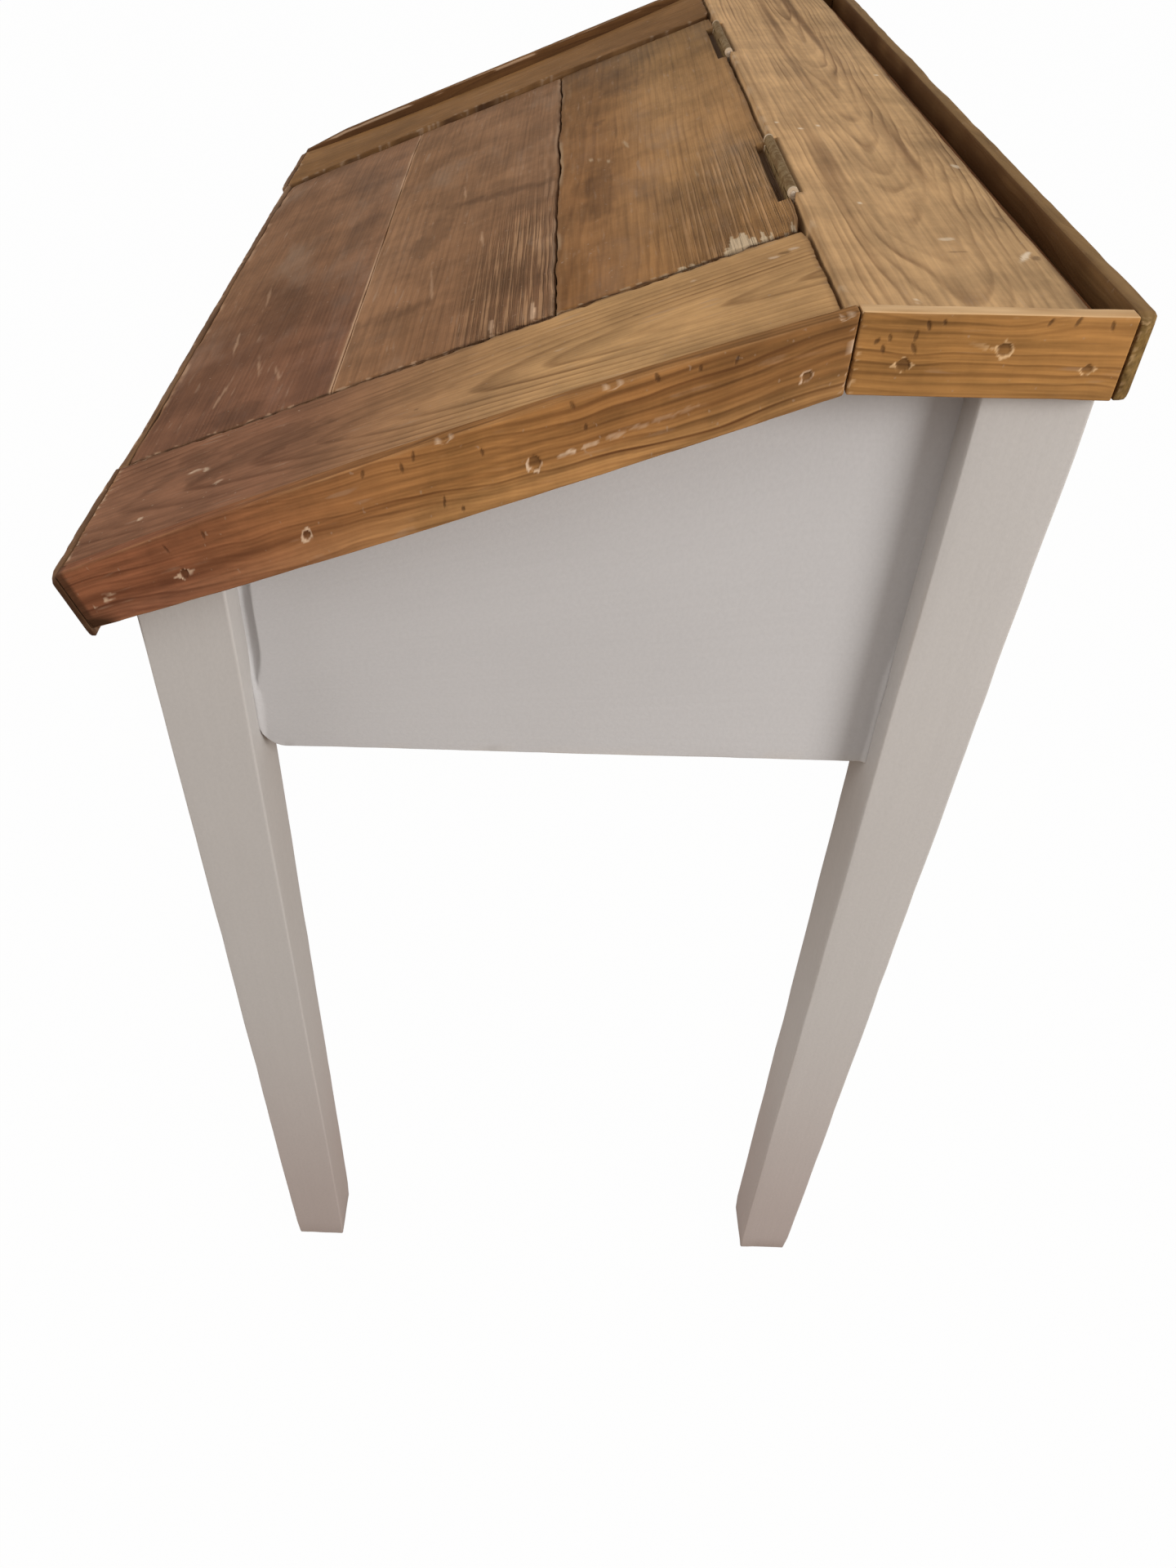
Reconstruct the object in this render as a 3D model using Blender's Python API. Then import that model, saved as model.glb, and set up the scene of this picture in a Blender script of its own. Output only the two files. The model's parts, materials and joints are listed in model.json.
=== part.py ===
"""Slope-top school desk of pine, built as separate pieces that are housed, nailed and hinged together.

Units are metres and +Z is up. The sitter is on the -Y side and faces +Y. The origin is on the floor,
under the middle of the desk's box. The lid turns on two butt hinges along its upper edge.
"""
import math

import bmesh
import bpy

# Driving sizes of the top
TOP_LENGTH = 0.800              # over the outer faces of the side mouldings
TOP_HEIGHT = 0.880              # floor to the tops of the fixed mouldings
LID_RUN = 0.384                 # hinge axis to the lid's front arris, measured level
LID_SLOPE = math.radians(20.0)
SHELF_DEPTH = 0.105
TROUGH_WIDTH = 0.018
TROUGH_DEPTH = 0.013            # shelf surface down to the trough's floor
BOARD_THICK = 0.025             # lid and shelf boards
MOULDING_THICK = 0.009
MOULDING_HEIGHT = 0.0365
MOULDING_LAP = 0.005            # the lid's mouldings end this far behind the hinge axis
MOULDING_PROUD = 0.0012         # mouldings stand this far above the boards
MOULDING_CORNER = 0.005         # rounding of the back moulding's ends
CLEAT_WIDTH = 0.112
LIPPING_THICK = 0.006
LIPPING_HEIGHT = 0.0380
LIPPING_CORNER = 0.004          # rounding of the lipping's outer ends
BOARD_SETBACK = 0.0045          # shrunk boards lie this far behind the cleats' ends
LID_BOARDS = ("lid_front_board", "lid_middle_board", "lid_rear_board")
TONGUE_LENGTH = 0.008
TONGUE_THICK = 0.007

# Driving sizes of the base
LEG_TOP = 0.053                 # leg section at the shelf's underside
LEG_FOOT = 0.0435               # leg section at the floor
LEG_SETBACK = 0.037             # front legs behind the lid's front arris
TOP_OVERHANG = 0.004            # boards' ends beyond the legs' outer faces
PANEL_THICK = 0.016
PANEL_RECESS = 0.020            # end panels behind the legs' outer faces
PANEL_CORNER = 0.014            # rounding of the end panels' lower front corners
FRONT_RECESS = 0.012            # front board behind the front legs' faces
BACK_RECESS = 0.003             # back board inside the back legs' rear faces
PANEL_HEIGHT = 0.2515           # end panels under the shelf
HOUSING = 0.008                 # depth of the panels in the legs
BEARER = 0.018                  # square section of the strips under the bottom boards
BEARER_LIFT = 0.002             # bearers above the panels' lower edges
BOTTOM_THICK = 0.010

# Driving sizes of the hinges and fastenings
HINGE_LENGTH = 0.108
HINGE_INSET = 0.172             # hinge end from the end of the top
HINGE_DROP = 0.002              # hinge axis below the tops of the fixed mouldings
HINGE_KNUCKLES = 5
KNUCKLE_RADIUS = 0.0029
PIN_RADIUS = 0.0013
LEAF_THICK = 0.0016
LEAF_HEIGHT = 0.018
TAB_INSET = 0.0003              # a leaf's tabs are narrower than its knuckles
MORTISE_DEPTH = 0.005           # below the hinge axis
LID_MORTISE_REACH = 0.0065      # hinge axis into the lid
SHELF_MORTISE_REACH = 0.0037    # hinge axis into the shelf
SCREW_HEAD_RADIUS = 0.0031
SCREW_SHANK_RADIUS = 0.0015
SCREW_TIP_RADIUS = 0.0008
SCREW_HEAD_DEPTH = 0.0014
SCREW_LENGTH = 0.017
SCREW_PITCH = 0.038
SCREW_DROP = 0.0115             # screws below the hinge axis
NAIL_HEAD = (0.0042, 0.0026)
NAIL_TIP = (0.0016, 0.0012)
NAIL_SINK = 0.0008              # heads are punched below the surface
NAIL_LENGTH = 0.026
LID_NAIL_SHARES = (0.044, 0.163, 0.337, 0.636, 0.953)   # shares of the moulding's length, from its front
LID_NAIL_DROP = 0.0205                                  # below the moulding's top
REAR_NAIL_SHARES = (0.190, 0.545, 0.872)                # shares of the moulding's length, from its front
REAR_NAIL_DROPS = (0.0225, 0.0146, 0.0225)
BACK_NAIL_INSET = 0.040                                 # from the ends of the back moulding
BACK_NAIL_RISE = 0.007                                  # above the back moulding's lower edge

# Clearances
FIT = 0.0003                    # between faces that touch
SEAM = 0.0006                   # between neighbouring boards
HINGE_GAP = 0.0020              # between the lid's upper edge and the shelf
MOULDING_JOINT = 0.0007         # between the lid's mouldings and the fixed ones
LEAF_GAP = 0.0006               # between the closed hinge leaves
PIN_CLEARANCE = 0.0001
NOTCH_CLEARANCE = 0.0010        # bottom boards round the legs
CUT_PAST = 0.010                # cutters run on this far past the faces they open

# Facets of round shapes
ROUND_SIDES = 14
SCREW_SIDES = 10
CORNER_STEPS = 5

# Finishes: colour, roughness, metallic
PAINT = ((0.47, 0.44, 0.41), 0.62, 0.0)
LID_WOOD = ((0.155, 0.088, 0.050), 0.50, 0.0)
SHELF_WOOD = ((0.270, 0.160, 0.080), 0.50, 0.0)
MOULDING_WOOD = ((0.240, 0.105, 0.032), 0.42, 0.0)
DARK_WOOD = ((0.060, 0.030, 0.014), 0.60, 0.0)
RAW_WOOD = ((0.420, 0.290, 0.170), 0.75, 0.0)
IRON = ((0.150, 0.135, 0.120), 0.55, 0.9)

# Places worked out from the sizes
SIN = math.sin(LID_SLOPE)
COS = math.cos(LID_SLOPE)
TAN = math.tan(LID_SLOPE)
DEPTH = LID_RUN + SHELF_DEPTH + TROUGH_WIDTH + MOULDING_THICK
FRONT_Y = -DEPTH / 2
BACK_Y = DEPTH / 2
HINGE_Y = FRONT_Y + LID_RUN
AXIS_Z = TOP_HEIGHT - HINGE_DROP
JOINT_Y = HINGE_Y + MOULDING_LAP
TROUGH_Y = HINGE_Y + SHELF_DEPTH
BACK_INNER_Y = BACK_Y - MOULDING_THICK
TOP_END = TOP_LENGTH / 2
BOARD_END = TOP_END - MOULDING_THICK
LEG_X = BOARD_END - TOP_OVERHANG
SURFACE_Z = TOP_HEIGHT - MOULDING_PROUD
SHELF_UNDER = SURFACE_Z - BOARD_THICK
LEG_LENGTH = SHELF_UNDER - FIT
WELL_UNDERSIDE = LEG_LENGTH - PANEL_HEIGHT
TAPER = (LEG_TOP - LEG_FOOT) / LEG_LENGTH
FRONT_LEG_Y = FRONT_Y + LEG_SETBACK
BACK_LEG_Y = BACK_INNER_Y - FIT
PANEL_OUT = LEG_X - PANEL_RECESS
PANEL_IN = PANEL_OUT - PANEL_THICK
PANEL_FRONT = FRONT_LEG_Y + LEG_TOP - HOUSING
PANEL_BACK = BACK_LEG_Y - LEG_TOP + HOUSING
CROSS_END = LEG_X - LEG_TOP + HOUSING
FRONT_BOARD_Y = (FRONT_LEG_Y + FRONT_RECESS, FRONT_LEG_Y + FRONT_RECESS + PANEL_THICK)
BACK_BOARD_Y = (BACK_LEG_Y - BACK_RECESS - PANEL_THICK, BACK_LEG_Y - BACK_RECESS)
BEARER_Z = WELL_UNDERSIDE + BEARER_LIFT
BOTTOM_Z = BEARER_Z + BEARER + FIT
HINGE_X = TOP_END - HINGE_INSET - HINGE_LENGTH / 2

# Places in the lid's own frame: origin on the hinge axis, Y up the slope, Z square to the lid
LID_MOULDING_TOP = HINGE_DROP * COS - MOULDING_LAP * SIN
LID_TOP = LID_MOULDING_TOP - MOULDING_PROUD
LID_UNDER = LID_TOP - BOARD_THICK
LID_FRONT = (LID_TOP * SIN - LID_RUN) / COS
CLEAT_FRONT = LID_FRONT + LIPPING_THICK + FIT
BOARDS_FRONT = CLEAT_FRONT + BOARD_SETBACK
CLEAT_OUT = BOARD_END - FIT
CLEAT_IN = CLEAT_OUT - CLEAT_WIDTH
BOARDS_REAR = -HINGE_GAP / 2 / COS
LID_MOULDING_HEIGHT = MOULDING_HEIGHT * COS
SIDES = (("left", -1), ("right", 1))


def clear_scene():
    """Remove every object of the scene that the script starts in."""
    for item in list(bpy.data.objects):
        bpy.data.objects.remove(item, do_unlink=True)


def finish(name, look):
    """Make a plain material of one colour, roughness and metallic value."""
    colour, roughness, metallic = look
    material = bpy.data.materials.new(name + "_finish")
    material.use_nodes = True
    shader = material.node_tree.nodes["Principled BSDF"]
    shader.inputs["Base Color"].default_value = (*colour, 1.0)
    shader.inputs["Roughness"].default_value = roughness
    shader.inputs["Metallic"].default_value = metallic
    material.diffuse_color = (*colour, 1.0)
    return material


def empty(name, location):
    """Add an empty that carries pieces."""
    frame = bpy.data.objects.new(name, None)
    frame.location = location
    bpy.context.scene.collection.objects.link(frame)
    return frame


def add(name, shape, look, parent, tilt=0.0):
    """Turn a bmesh into a named piece on its parent, turned about X by tilt."""
    bmesh.ops.recalc_face_normals(shape, faces=shape.faces)
    mesh = bpy.data.meshes.new(name)
    shape.to_mesh(mesh)
    shape.free()
    piece = bpy.data.objects.new(name, mesh)
    if look is not None:
        mesh.materials.append(finish(name, look))
    piece.parent = parent
    piece.rotation_euler.x = tilt
    bpy.context.scene.collection.objects.link(piece)
    return piece


def combine(piece, shape, operation, parent, tilt=0.0):
    """Cut a shape out of a piece, or join it on, with a Boolean modifier."""
    label = f"{piece.name}_{operation.lower()}_{len(piece.modifiers)}"
    tool = add(label, shape, None, parent, tilt)
    tool.hide_render = True
    tool.display_type = "WIRE"
    modifier = piece.modifiers.new(label, "BOOLEAN")
    modifier.operation = operation
    modifier.object = tool


def cut(piece, shape, parent, tilt=0.0):
    """Cut a shape out of a piece."""
    combine(piece, shape, "DIFFERENCE", parent, tilt)


def value_at(limit, point):
    """Give a prism's limit at an outline point, where it may be a number or a function."""
    return limit(point) if callable(limit) else limit


def prism(outline, axis, low, high, shape=None):
    """Extrude an outline along axis 0, 1 or 2 between two limits, into a new or a given bmesh."""
    shape = shape or bmesh.new()

    def corner(point, along):
        place = list(point)
        place.insert(axis, along)
        return shape.verts.new(place)

    near = [corner(point, value_at(low, point)) for point in outline]
    far = [corner(point, value_at(high, point)) for point in outline]
    shape.faces.new(near)
    shape.faces.new(far)
    for i in range(len(outline)):
        j = (i + 1) % len(outline)
        shape.faces.new((near[i], near[j], far[j], far[i]))
    return shape


def block(x, y, z, shape=None):
    """Make a rectangular block from three pairs of limits."""
    outline = ((x[0], y[0]), (x[1], y[0]), (x[1], y[1]), (x[0], y[1]))
    return prism(outline, 2, z[0], z[1], shape)


def arc(centre, radius, start, end):
    """Points of a rounded corner from one angle in degrees to another."""
    points = []
    for step in range(CORNER_STEPS + 1):
        angle = math.radians(start + (end - start) * step / CORNER_STEPS)
        points.append((centre[0] + radius * math.cos(angle), centre[1] + radius * math.sin(angle)))
    return points


def rod(x, radius, sides, shape=None):
    """Make a round bar along X on the local origin."""
    turns = [2 * math.pi * i / sides for i in range(sides)]
    outline = [(radius * math.cos(a), radius * math.sin(a)) for a in turns]
    return prism(outline, 0, x[0], x[1], shape)


def leg_width(z):
    """Section of a leg at a height."""
    return LEG_FOOT + TAPER * z


def lid_under(y):
    """World height of the closed lid's underside at a place across the desk."""
    return AXIS_Z + (y - HINGE_Y) * TAN + LID_UNDER / COS


def lid_rear(rear):
    """Limit that cuts a lid piece plumb at the hinge line, whatever the lid's slope."""
    return lambda point: rear + point[-1] * TAN


def nail(shape, place, into, along, clearance=0.0, past=0.0):
    """Add one cut nail to a bmesh: a tapered square shank driven along an axis.

    place is the middle of its head, into the axis and sign it is driven along, and along the axis of the
    head's long side. A clearance grows it and past lengthens its head outwards, which makes its hole.
    """
    axis, sign = into
    third = 3 - axis - along

    def ring(size, depth):
        corners = []
        for u, v in ((-1, -1), (1, -1), (1, 1), (-1, 1)):
            point = list(place)
            point[axis] += sign * depth
            point[along] += u * (size[0] / 2 + clearance)
            point[third] += v * (size[1] / 2 + clearance)
            corners.append(shape.verts.new(point))
        return corners

    rings = [ring(NAIL_HEAD, -past)] if past else []
    rings.append(ring(NAIL_HEAD, 0.0))
    rings.append(ring(NAIL_TIP, NAIL_LENGTH + clearance))
    shape.faces.new(rings[0])
    shape.faces.new(rings[-1])
    for near, far in zip(rings, rings[1:]):
        for i in range(4):
            j = (i + 1) % 4
            shape.faces.new((near[i], near[j], far[j], far[i]))


def drive(name, nails, pieces, parent, tilt=0.0):
    """Drive a row of nails, each a (place, into, along), through the pieces that they hold together."""
    for number, place in enumerate(nails, start=1):
        shape = bmesh.new()
        nail(shape, *place)
        add(f"{name}_{number}", shape, IRON, parent, tilt)
    for piece in pieces:
        holes = bmesh.new()
        for place in nails:
            nail(holes, *place, clearance=FIT, past=CUT_PAST)
        cut(piece, holes, parent, tilt)


def screw(shape, place, sign, clearance=0.0, past=0.0):
    """Add one countersunk screw to a bmesh, driven along Y, or its hole."""
    profile = [(SCREW_HEAD_RADIUS, 0.0), (SCREW_SHANK_RADIUS, SCREW_HEAD_DEPTH),
               (SCREW_TIP_RADIUS, SCREW_LENGTH)]
    if past:
        profile.insert(0, (SCREW_HEAD_RADIUS, -past))
    last = len(profile) - 1
    rings = []
    for index, (radius, depth) in enumerate(profile):
        ring = []
        for i in range(SCREW_SIDES):
            angle = 2 * math.pi * i / SCREW_SIDES
            reach = radius + clearance
            end = depth + (clearance if index == last else 0.0)
            ring.append(shape.verts.new((place[0] + reach * math.cos(angle), place[1] + sign * end,
                                         place[2] + reach * math.sin(angle))))
        rings.append(ring)
    shape.faces.new(rings[0])
    shape.faces.new(rings[-1])
    for near, far in zip(rings, rings[1:]):
        for i in range(SCREW_SIDES):
            j = (i + 1) % SCREW_SIDES
            shape.faces.new((near[i], near[j], far[j], far[i]))


def leg(name, sign, outer_y, inward, top, parent):
    """Add one leg, tapered on its two inner faces. inward is the way its section grows along Y."""
    shape = bmesh.new()
    outer_x = sign * LEG_X
    slope, base = top

    def corner(on_x, on_y, at_top):
        # The top may slope along Y, so an inner corner's height and section settle each other
        if at_top:
            grown = inward * on_y
            z = (base + slope * (outer_y + grown * LEG_FOOT)) / (1 - slope * grown * TAPER)
        else:
            z = 0.0
        width = leg_width(z)
        return shape.verts.new((outer_x - sign * on_x * width, outer_y + inward * on_y * width, z))

    loop = ((0, 0), (1, 0), (1, 1), (0, 1))
    foot = [corner(a, b, False) for a, b in loop]
    head = [corner(a, b, True) for a, b in loop]
    shape.faces.new(foot)
    shape.faces.new(head)
    for i in range(4):
        j = (i + 1) % 4
        shape.faces.new((foot[i], foot[j], head[j], head[i]))
    return add(name, shape, PAINT, parent)


def span(sign, low, high):
    """Limits along X on one side of the desk, in rising order."""
    return tuple(sorted((sign * low, sign * high)))


def build_base(desk):
    """Legs, end panels, front and back boards, with the housings that hold them."""
    sloping_top = (TAN, lid_under(0.0) - FIT / COS)
    level_top = (0.0, LEG_LENGTH)
    back_legs = {}
    for side, sign in SIDES:
        front = leg(f"front_{side}_leg", sign, FRONT_LEG_Y, 1, sloping_top, desk)
        back = leg(f"back_{side}_leg", sign, BACK_LEG_Y, -1, level_top, desk)
        back_legs[side] = back

        # End panel, with the lower front corner rounded off where it leaves the front leg
        rise = WELL_UNDERSIDE + PANEL_CORNER
        face = FRONT_LEG_Y + leg_width(rise) + FIT
        level = LEG_LENGTH
        turn = HINGE_Y + (level - lid_under(HINGE_Y) + FIT / COS) / TAN
        outline = [(PANEL_BACK, WELL_UNDERSIDE), (PANEL_BACK, level), (turn, level)]
        outline.append((PANEL_FRONT, lid_under(PANEL_FRONT) - FIT / COS))
        outline.append((PANEL_FRONT, rise))
        outline += arc((face + PANEL_CORNER, rise), PANEL_CORNER, 180, 270)
        x = span(sign, PANEL_IN, PANEL_OUT)
        add(f"{side}_end_panel", prism(outline, 0, *x), PAINT, desk)

        groove = span(sign, PANEL_IN - FIT, PANEL_OUT + FIT)
        above = TOP_HEIGHT + CUT_PAST
        front_y = (PANEL_FRONT - FIT, FRONT_LEG_Y + LEG_TOP + CUT_PAST)
        back_y = (BACK_LEG_Y - LEG_TOP - CUT_PAST, PANEL_BACK + FIT)
        cut(front, block(groove, front_y, (rise - FIT, above)), desk)
        cut(back, block(groove, back_y, (WELL_UNDERSIDE - FIT, above)), desk)
        cross = span(sign, LEG_X - LEG_TOP - CUT_PAST, CROSS_END + FIT)
        for post, board_y in ((front, FRONT_BOARD_Y), (back, BACK_BOARD_Y)):
            y = (board_y[0] - FIT, board_y[1] + FIT)
            cut(post, block(cross, y, (WELL_UNDERSIDE - FIT, above)), desk)

    low_y, high_y = FRONT_BOARD_Y
    outline = [(low_y, WELL_UNDERSIDE), (high_y, WELL_UNDERSIDE)]
    outline += [(y, lid_under(y) - FIT / COS) for y in (high_y, low_y)]
    add("front_board", prism(outline, 0, -CROSS_END, CROSS_END), PAINT, desk)
    back_z = (WELL_UNDERSIDE, LEG_LENGTH)
    add("back_board", block((-CROSS_END, CROSS_END), BACK_BOARD_Y, back_z), PAINT, desk)
    return back_legs


def build_bottom(desk):
    """Bottom boards of the well, notched round the legs, on bearers glued inside the end panels."""
    low_y = FRONT_BOARD_Y[1] + FIT
    high_y = BACK_BOARD_Y[0] - FIT
    middle = (low_y + high_y) / 2
    end = PANEL_IN - FIT
    width = leg_width(BOTTOM_Z + BOTTOM_THICK) + NOTCH_CLEARANCE
    notch_x = LEG_X - width
    for name, edge, split, notch_y in (
            ("bottom_front_board", low_y, middle - SEAM / 2, FRONT_LEG_Y + width),
            ("bottom_back_board", high_y, middle + SEAM / 2, BACK_LEG_Y - width)):
        outline = ((-end, split), (end, split), (end, notch_y), (notch_x, notch_y), (notch_x, edge),
                   (-notch_x, edge), (-notch_x, notch_y), (-end, notch_y))
        shape = prism(outline, 2, BOTTOM_Z, BOTTOM_Z + BOTTOM_THICK)
        add(name, shape, RAW_WOOD, desk)

    bearer_y = (FRONT_LEG_Y + width, BACK_LEG_Y - width)
    outer = PANEL_IN - FIT
    for side, sign in SIDES:
        shape = block(span(sign, outer - BEARER, outer), bearer_y, (BEARER_Z, BEARER_Z + BEARER))
        add(f"{side}_bearer", shape, RAW_WOOD, desk)


def build_fixed_top(desk, back_legs):
    """Shelf, pen trough and the fixed mouldings round them."""
    shelf_y = (HINGE_Y + HINGE_GAP / 2, TROUGH_Y)
    ends = (-BOARD_END + FIT, BOARD_END - FIT)
    shelf = add("shelf_board", block(ends, shelf_y, (SHELF_UNDER, SURFACE_Z)), SHELF_WOOD, desk)
    floor_y = (TROUGH_Y + FIT, BACK_INNER_Y - FIT)
    floor_z = (SHELF_UNDER, SURFACE_Z - TROUGH_DEPTH)
    floor = add("trough_floor", block(ends, floor_y, floor_z), DARK_WOOD, desk)

    low = TOP_HEIGHT - MOULDING_HEIGHT
    outline = [(-TOP_END, BACK_INNER_Y), (TOP_END, BACK_INNER_Y)]
    corner_y = BACK_Y - MOULDING_CORNER
    outline += arc((TOP_END - MOULDING_CORNER, corner_y), MOULDING_CORNER, 0, 90)
    outline += arc((-TOP_END + MOULDING_CORNER, corner_y), MOULDING_CORNER, 90, 180)
    back = add("back_moulding", prism(outline, 2, low, TOP_HEIGHT), MOULDING_WOOD, desk)
    rear_y = (JOINT_Y + MOULDING_JOINT / 2, BACK_INNER_Y - FIT)
    for side, sign in SIDES:
        head = (sign * (TOP_END - BACK_NAIL_INSET), BACK_Y - NAIL_SINK, low + BACK_NAIL_RISE)
        drive(f"back_{side}_moulding_nail", [(head, (1, -1), 0)], (back, back_legs[side]), desk)

        shape = block(span(sign, BOARD_END, TOP_END), rear_y, (low, TOP_HEIGHT))
        moulding = add(f"{side}_rear_moulding", shape, MOULDING_WOOD, desk)
        nails = []
        for share, drop in zip(REAR_NAIL_SHARES, REAR_NAIL_DROPS):
            y = JOINT_Y + share * (BACK_INNER_Y - JOINT_Y)
            head = (sign * (TOP_END - NAIL_SINK), y, TOP_HEIGHT - drop)
            nails.append((head, (0, -sign), 1))
        drive(f"{side}_rear_moulding_nail", nails, (moulding, shelf, floor), desk)
    return shelf


def build_lid(pivot):
    """Lid boards, breadboard cleats, side mouldings and front lipping, all on the hinge axis."""
    middle = (LID_TOP + LID_UNDER) / 2
    tongue = (middle - TONGUE_THICK / 2, middle + TONGUE_THICK / 2)
    shoulder = CLEAT_IN - SEAM
    tip = shoulder + TONGUE_LENGTH
    outline = [(shoulder, LID_UNDER), (shoulder, tongue[0]), (tip, tongue[0]), (tip, tongue[1]),
               (shoulder, tongue[1]), (shoulder, LID_TOP)]
    outline += [(-x, z) for x, z in reversed(outline)]
    width = (BOARDS_REAR - BOARDS_FRONT) / len(LID_BOARDS)
    last = len(LID_BOARDS) - 1
    for index, name in enumerate(LID_BOARDS):
        low = BOARDS_FRONT + index * width + (SEAM / 2 if index else 0.0)
        high = BOARDS_FRONT + (index + 1) * width - SEAM / 2
        if index == last:
            high = lid_rear(BOARDS_REAR)
        board = add(name, prism(outline, 1, low, high), LID_WOOD, pivot, LID_SLOPE)

    for side, sign in SIDES:
        build_lid_end(pivot, side, sign, tongue, tip)

    front = LID_FRONT + BOARD_SETBACK
    lipping_z = (LID_TOP - LIPPING_HEIGHT, LID_TOP)
    shape = block((-shoulder, shoulder), (front, front + LIPPING_THICK), lipping_z)
    add("lid_middle_lipping", shape, LID_WOOD, pivot, LID_SLOPE)
    return board


def build_lid_end(pivot, side, sign, tongue, tip):
    """One end of the lid: cleat grooved for the boards' tongues, moulding with its nails, and lipping."""
    groove = (tongue[0] - FIT, tongue[1] + FIT)
    bed = tip + FIT
    outline = [(CLEAT_OUT, LID_UNDER), (CLEAT_OUT, LID_TOP), (CLEAT_IN, LID_TOP), (CLEAT_IN, groove[1]),
               (bed, groove[1]), (bed, groove[0]), (CLEAT_IN, groove[0]), (CLEAT_IN, LID_UNDER)]
    outline = [(sign * x, z) for x, z in outline]
    shape = prism(outline, 1, CLEAT_FRONT, lid_rear(BOARDS_REAR))
    cleat = add(f"lid_{side}_cleat", shape, LID_WOOD, pivot, LID_SLOPE)

    top = LID_MOULDING_TOP
    foot = top - LID_MOULDING_HEIGHT
    joint = (MOULDING_LAP - MOULDING_JOINT / 2) / COS
    outline = ((CLEAT_FRONT, top), (joint + top * TAN, top), (joint + foot * TAN, foot), (CLEAT_FRONT, foot))
    shape = prism(outline, 0, *span(sign, BOARD_END, TOP_END))
    moulding = add(f"lid_{side}_moulding", shape, MOULDING_WOOD, pivot, LID_SLOPE)
    nails = []
    for share in LID_NAIL_SHARES:
        y = CLEAT_FRONT + share * (joint - CLEAT_FRONT)
        head = (sign * (TOP_END - NAIL_SINK), y, top - LID_NAIL_DROP)
        nails.append((head, (0, -sign), 1))
    drive(f"lid_{side}_moulding_nail", nails, (moulding, cleat), pivot, LID_SLOPE)

    rear = LID_FRONT + LIPPING_THICK
    corner = (TOP_END - LIPPING_CORNER, LID_FRONT + LIPPING_CORNER)
    outline = [(CLEAT_IN, rear), (CLEAT_IN, LID_FRONT)] + arc(corner, LIPPING_CORNER, 270, 360)
    outline.append((TOP_END, rear))
    outline = [(sign * x, y) for x, y in outline]
    shape = prism(outline, 2, LID_TOP - LIPPING_HEIGHT, LID_TOP)
    add(f"lid_{side}_lipping", shape, LID_WOOD, pivot, LID_SLOPE)


def hinge_leaf(name, side, x, own, parent):
    """Add one hinge leaf with its knuckles. side is 1 on the shelf and -1 on the lid."""
    step = HINGE_LENGTH / HINGE_KNUCKLES
    start = x - HINGE_LENGTH / 2
    # The plate stays below its partner's knuckles and reaches the axis at its own
    low = -(KNUCKLE_RADIUS + FIT)
    outline = [(start + HINGE_LENGTH, -LEAF_HEIGHT), (start, -LEAF_HEIGHT), (start, low)]
    knuckles = bmesh.new()
    for index in own:
        ends = (start + index * step + FIT / 2, start + (index + 1) * step - FIT / 2)
        rod(ends, KNUCKLE_RADIUS, ROUND_SIDES, knuckles)
        tab = (ends[0] + TAB_INSET, ends[1] - TAB_INSET)
        outline += [(tab[0], low), (tab[0], 0.0), (tab[1], 0.0), (tab[1], low)]
    outline.append((start + HINGE_LENGTH, low))
    y = sorted((side * LEAF_GAP / 2, side * (LEAF_GAP / 2 + LEAF_THICK)))
    leaf = add(name, prism(outline, 1, *y), IRON, parent)
    combine(leaf, knuckles, "UNION", parent)
    bore = (start - CUT_PAST, start + HINGE_LENGTH + CUT_PAST)
    cut(leaf, rod(bore, PIN_RADIUS + PIN_CLEARANCE, ROUND_SIDES), parent)
    return leaf


def hinge_bed(side, reach):
    """Outline of the wood cut away for a leaf and its barrel, in Y and Z from the axis."""
    seat = LEAF_GAP / 2 + LEAF_THICK + FIT
    top = BOARD_THICK
    foot = -(LEAF_HEIGHT + FIT)
    points = ((-CUT_PAST, top), (reach, top), (reach, -MORTISE_DEPTH), (seat, -MORTISE_DEPTH), (seat, foot),
              (-CUT_PAST, foot))
    return [(side * y, z) for y, z in points]


def build_hinges(axis, pivot, shelf, rear_board):
    """Two butt hinges with their pins and screws, let into the lid's edge and the shelf's edge."""
    odd = range(1, HINGE_KNUCKLES, 2)
    even = range(0, HINGE_KNUCKLES, 2)
    half = HINGE_LENGTH / 2
    for side, reach, own, parent, board, label in (
            (1, SHELF_MORTISE_REACH, even, axis, shelf, "fixed"),
            (-1, LID_MORTISE_REACH, odd, pivot, rear_board, "moving")):
        beds = bmesh.new()
        holes = bmesh.new()
        face = side * (LEAF_GAP / 2 + FIT / 2)
        for place, sign in SIDES:
            x = sign * HINGE_X
            prism(hinge_bed(side, reach), 0, x - half - FIT, x + half + FIT, beds)
            leaf = hinge_leaf(f"{place}_hinge_{label}_leaf", side, x, own, parent)
            leaf_holes = bmesh.new()
            for number, offset in enumerate((-SCREW_PITCH, SCREW_PITCH), start=1):
                head = (x + offset, face, -SCREW_DROP)
                shape = bmesh.new()
                screw(shape, head, side)
                add(f"{place}_hinge_{label}_screw_{number}", shape, IRON, parent)
                screw(holes, head, side, FIT, CUT_PAST)
                screw(leaf_holes, head, side, FIT, CUT_PAST)
            cut(leaf, leaf_holes, parent)
        cut(board, beds, parent)
        cut(board, holes, parent)
    for place, sign in SIDES:
        ends = (sign * HINGE_X - half, sign * HINGE_X + half)
        add(f"{place}_hinge_pin", rod(ends, PIN_RADIUS, ROUND_SIDES), IRON, axis)


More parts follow.
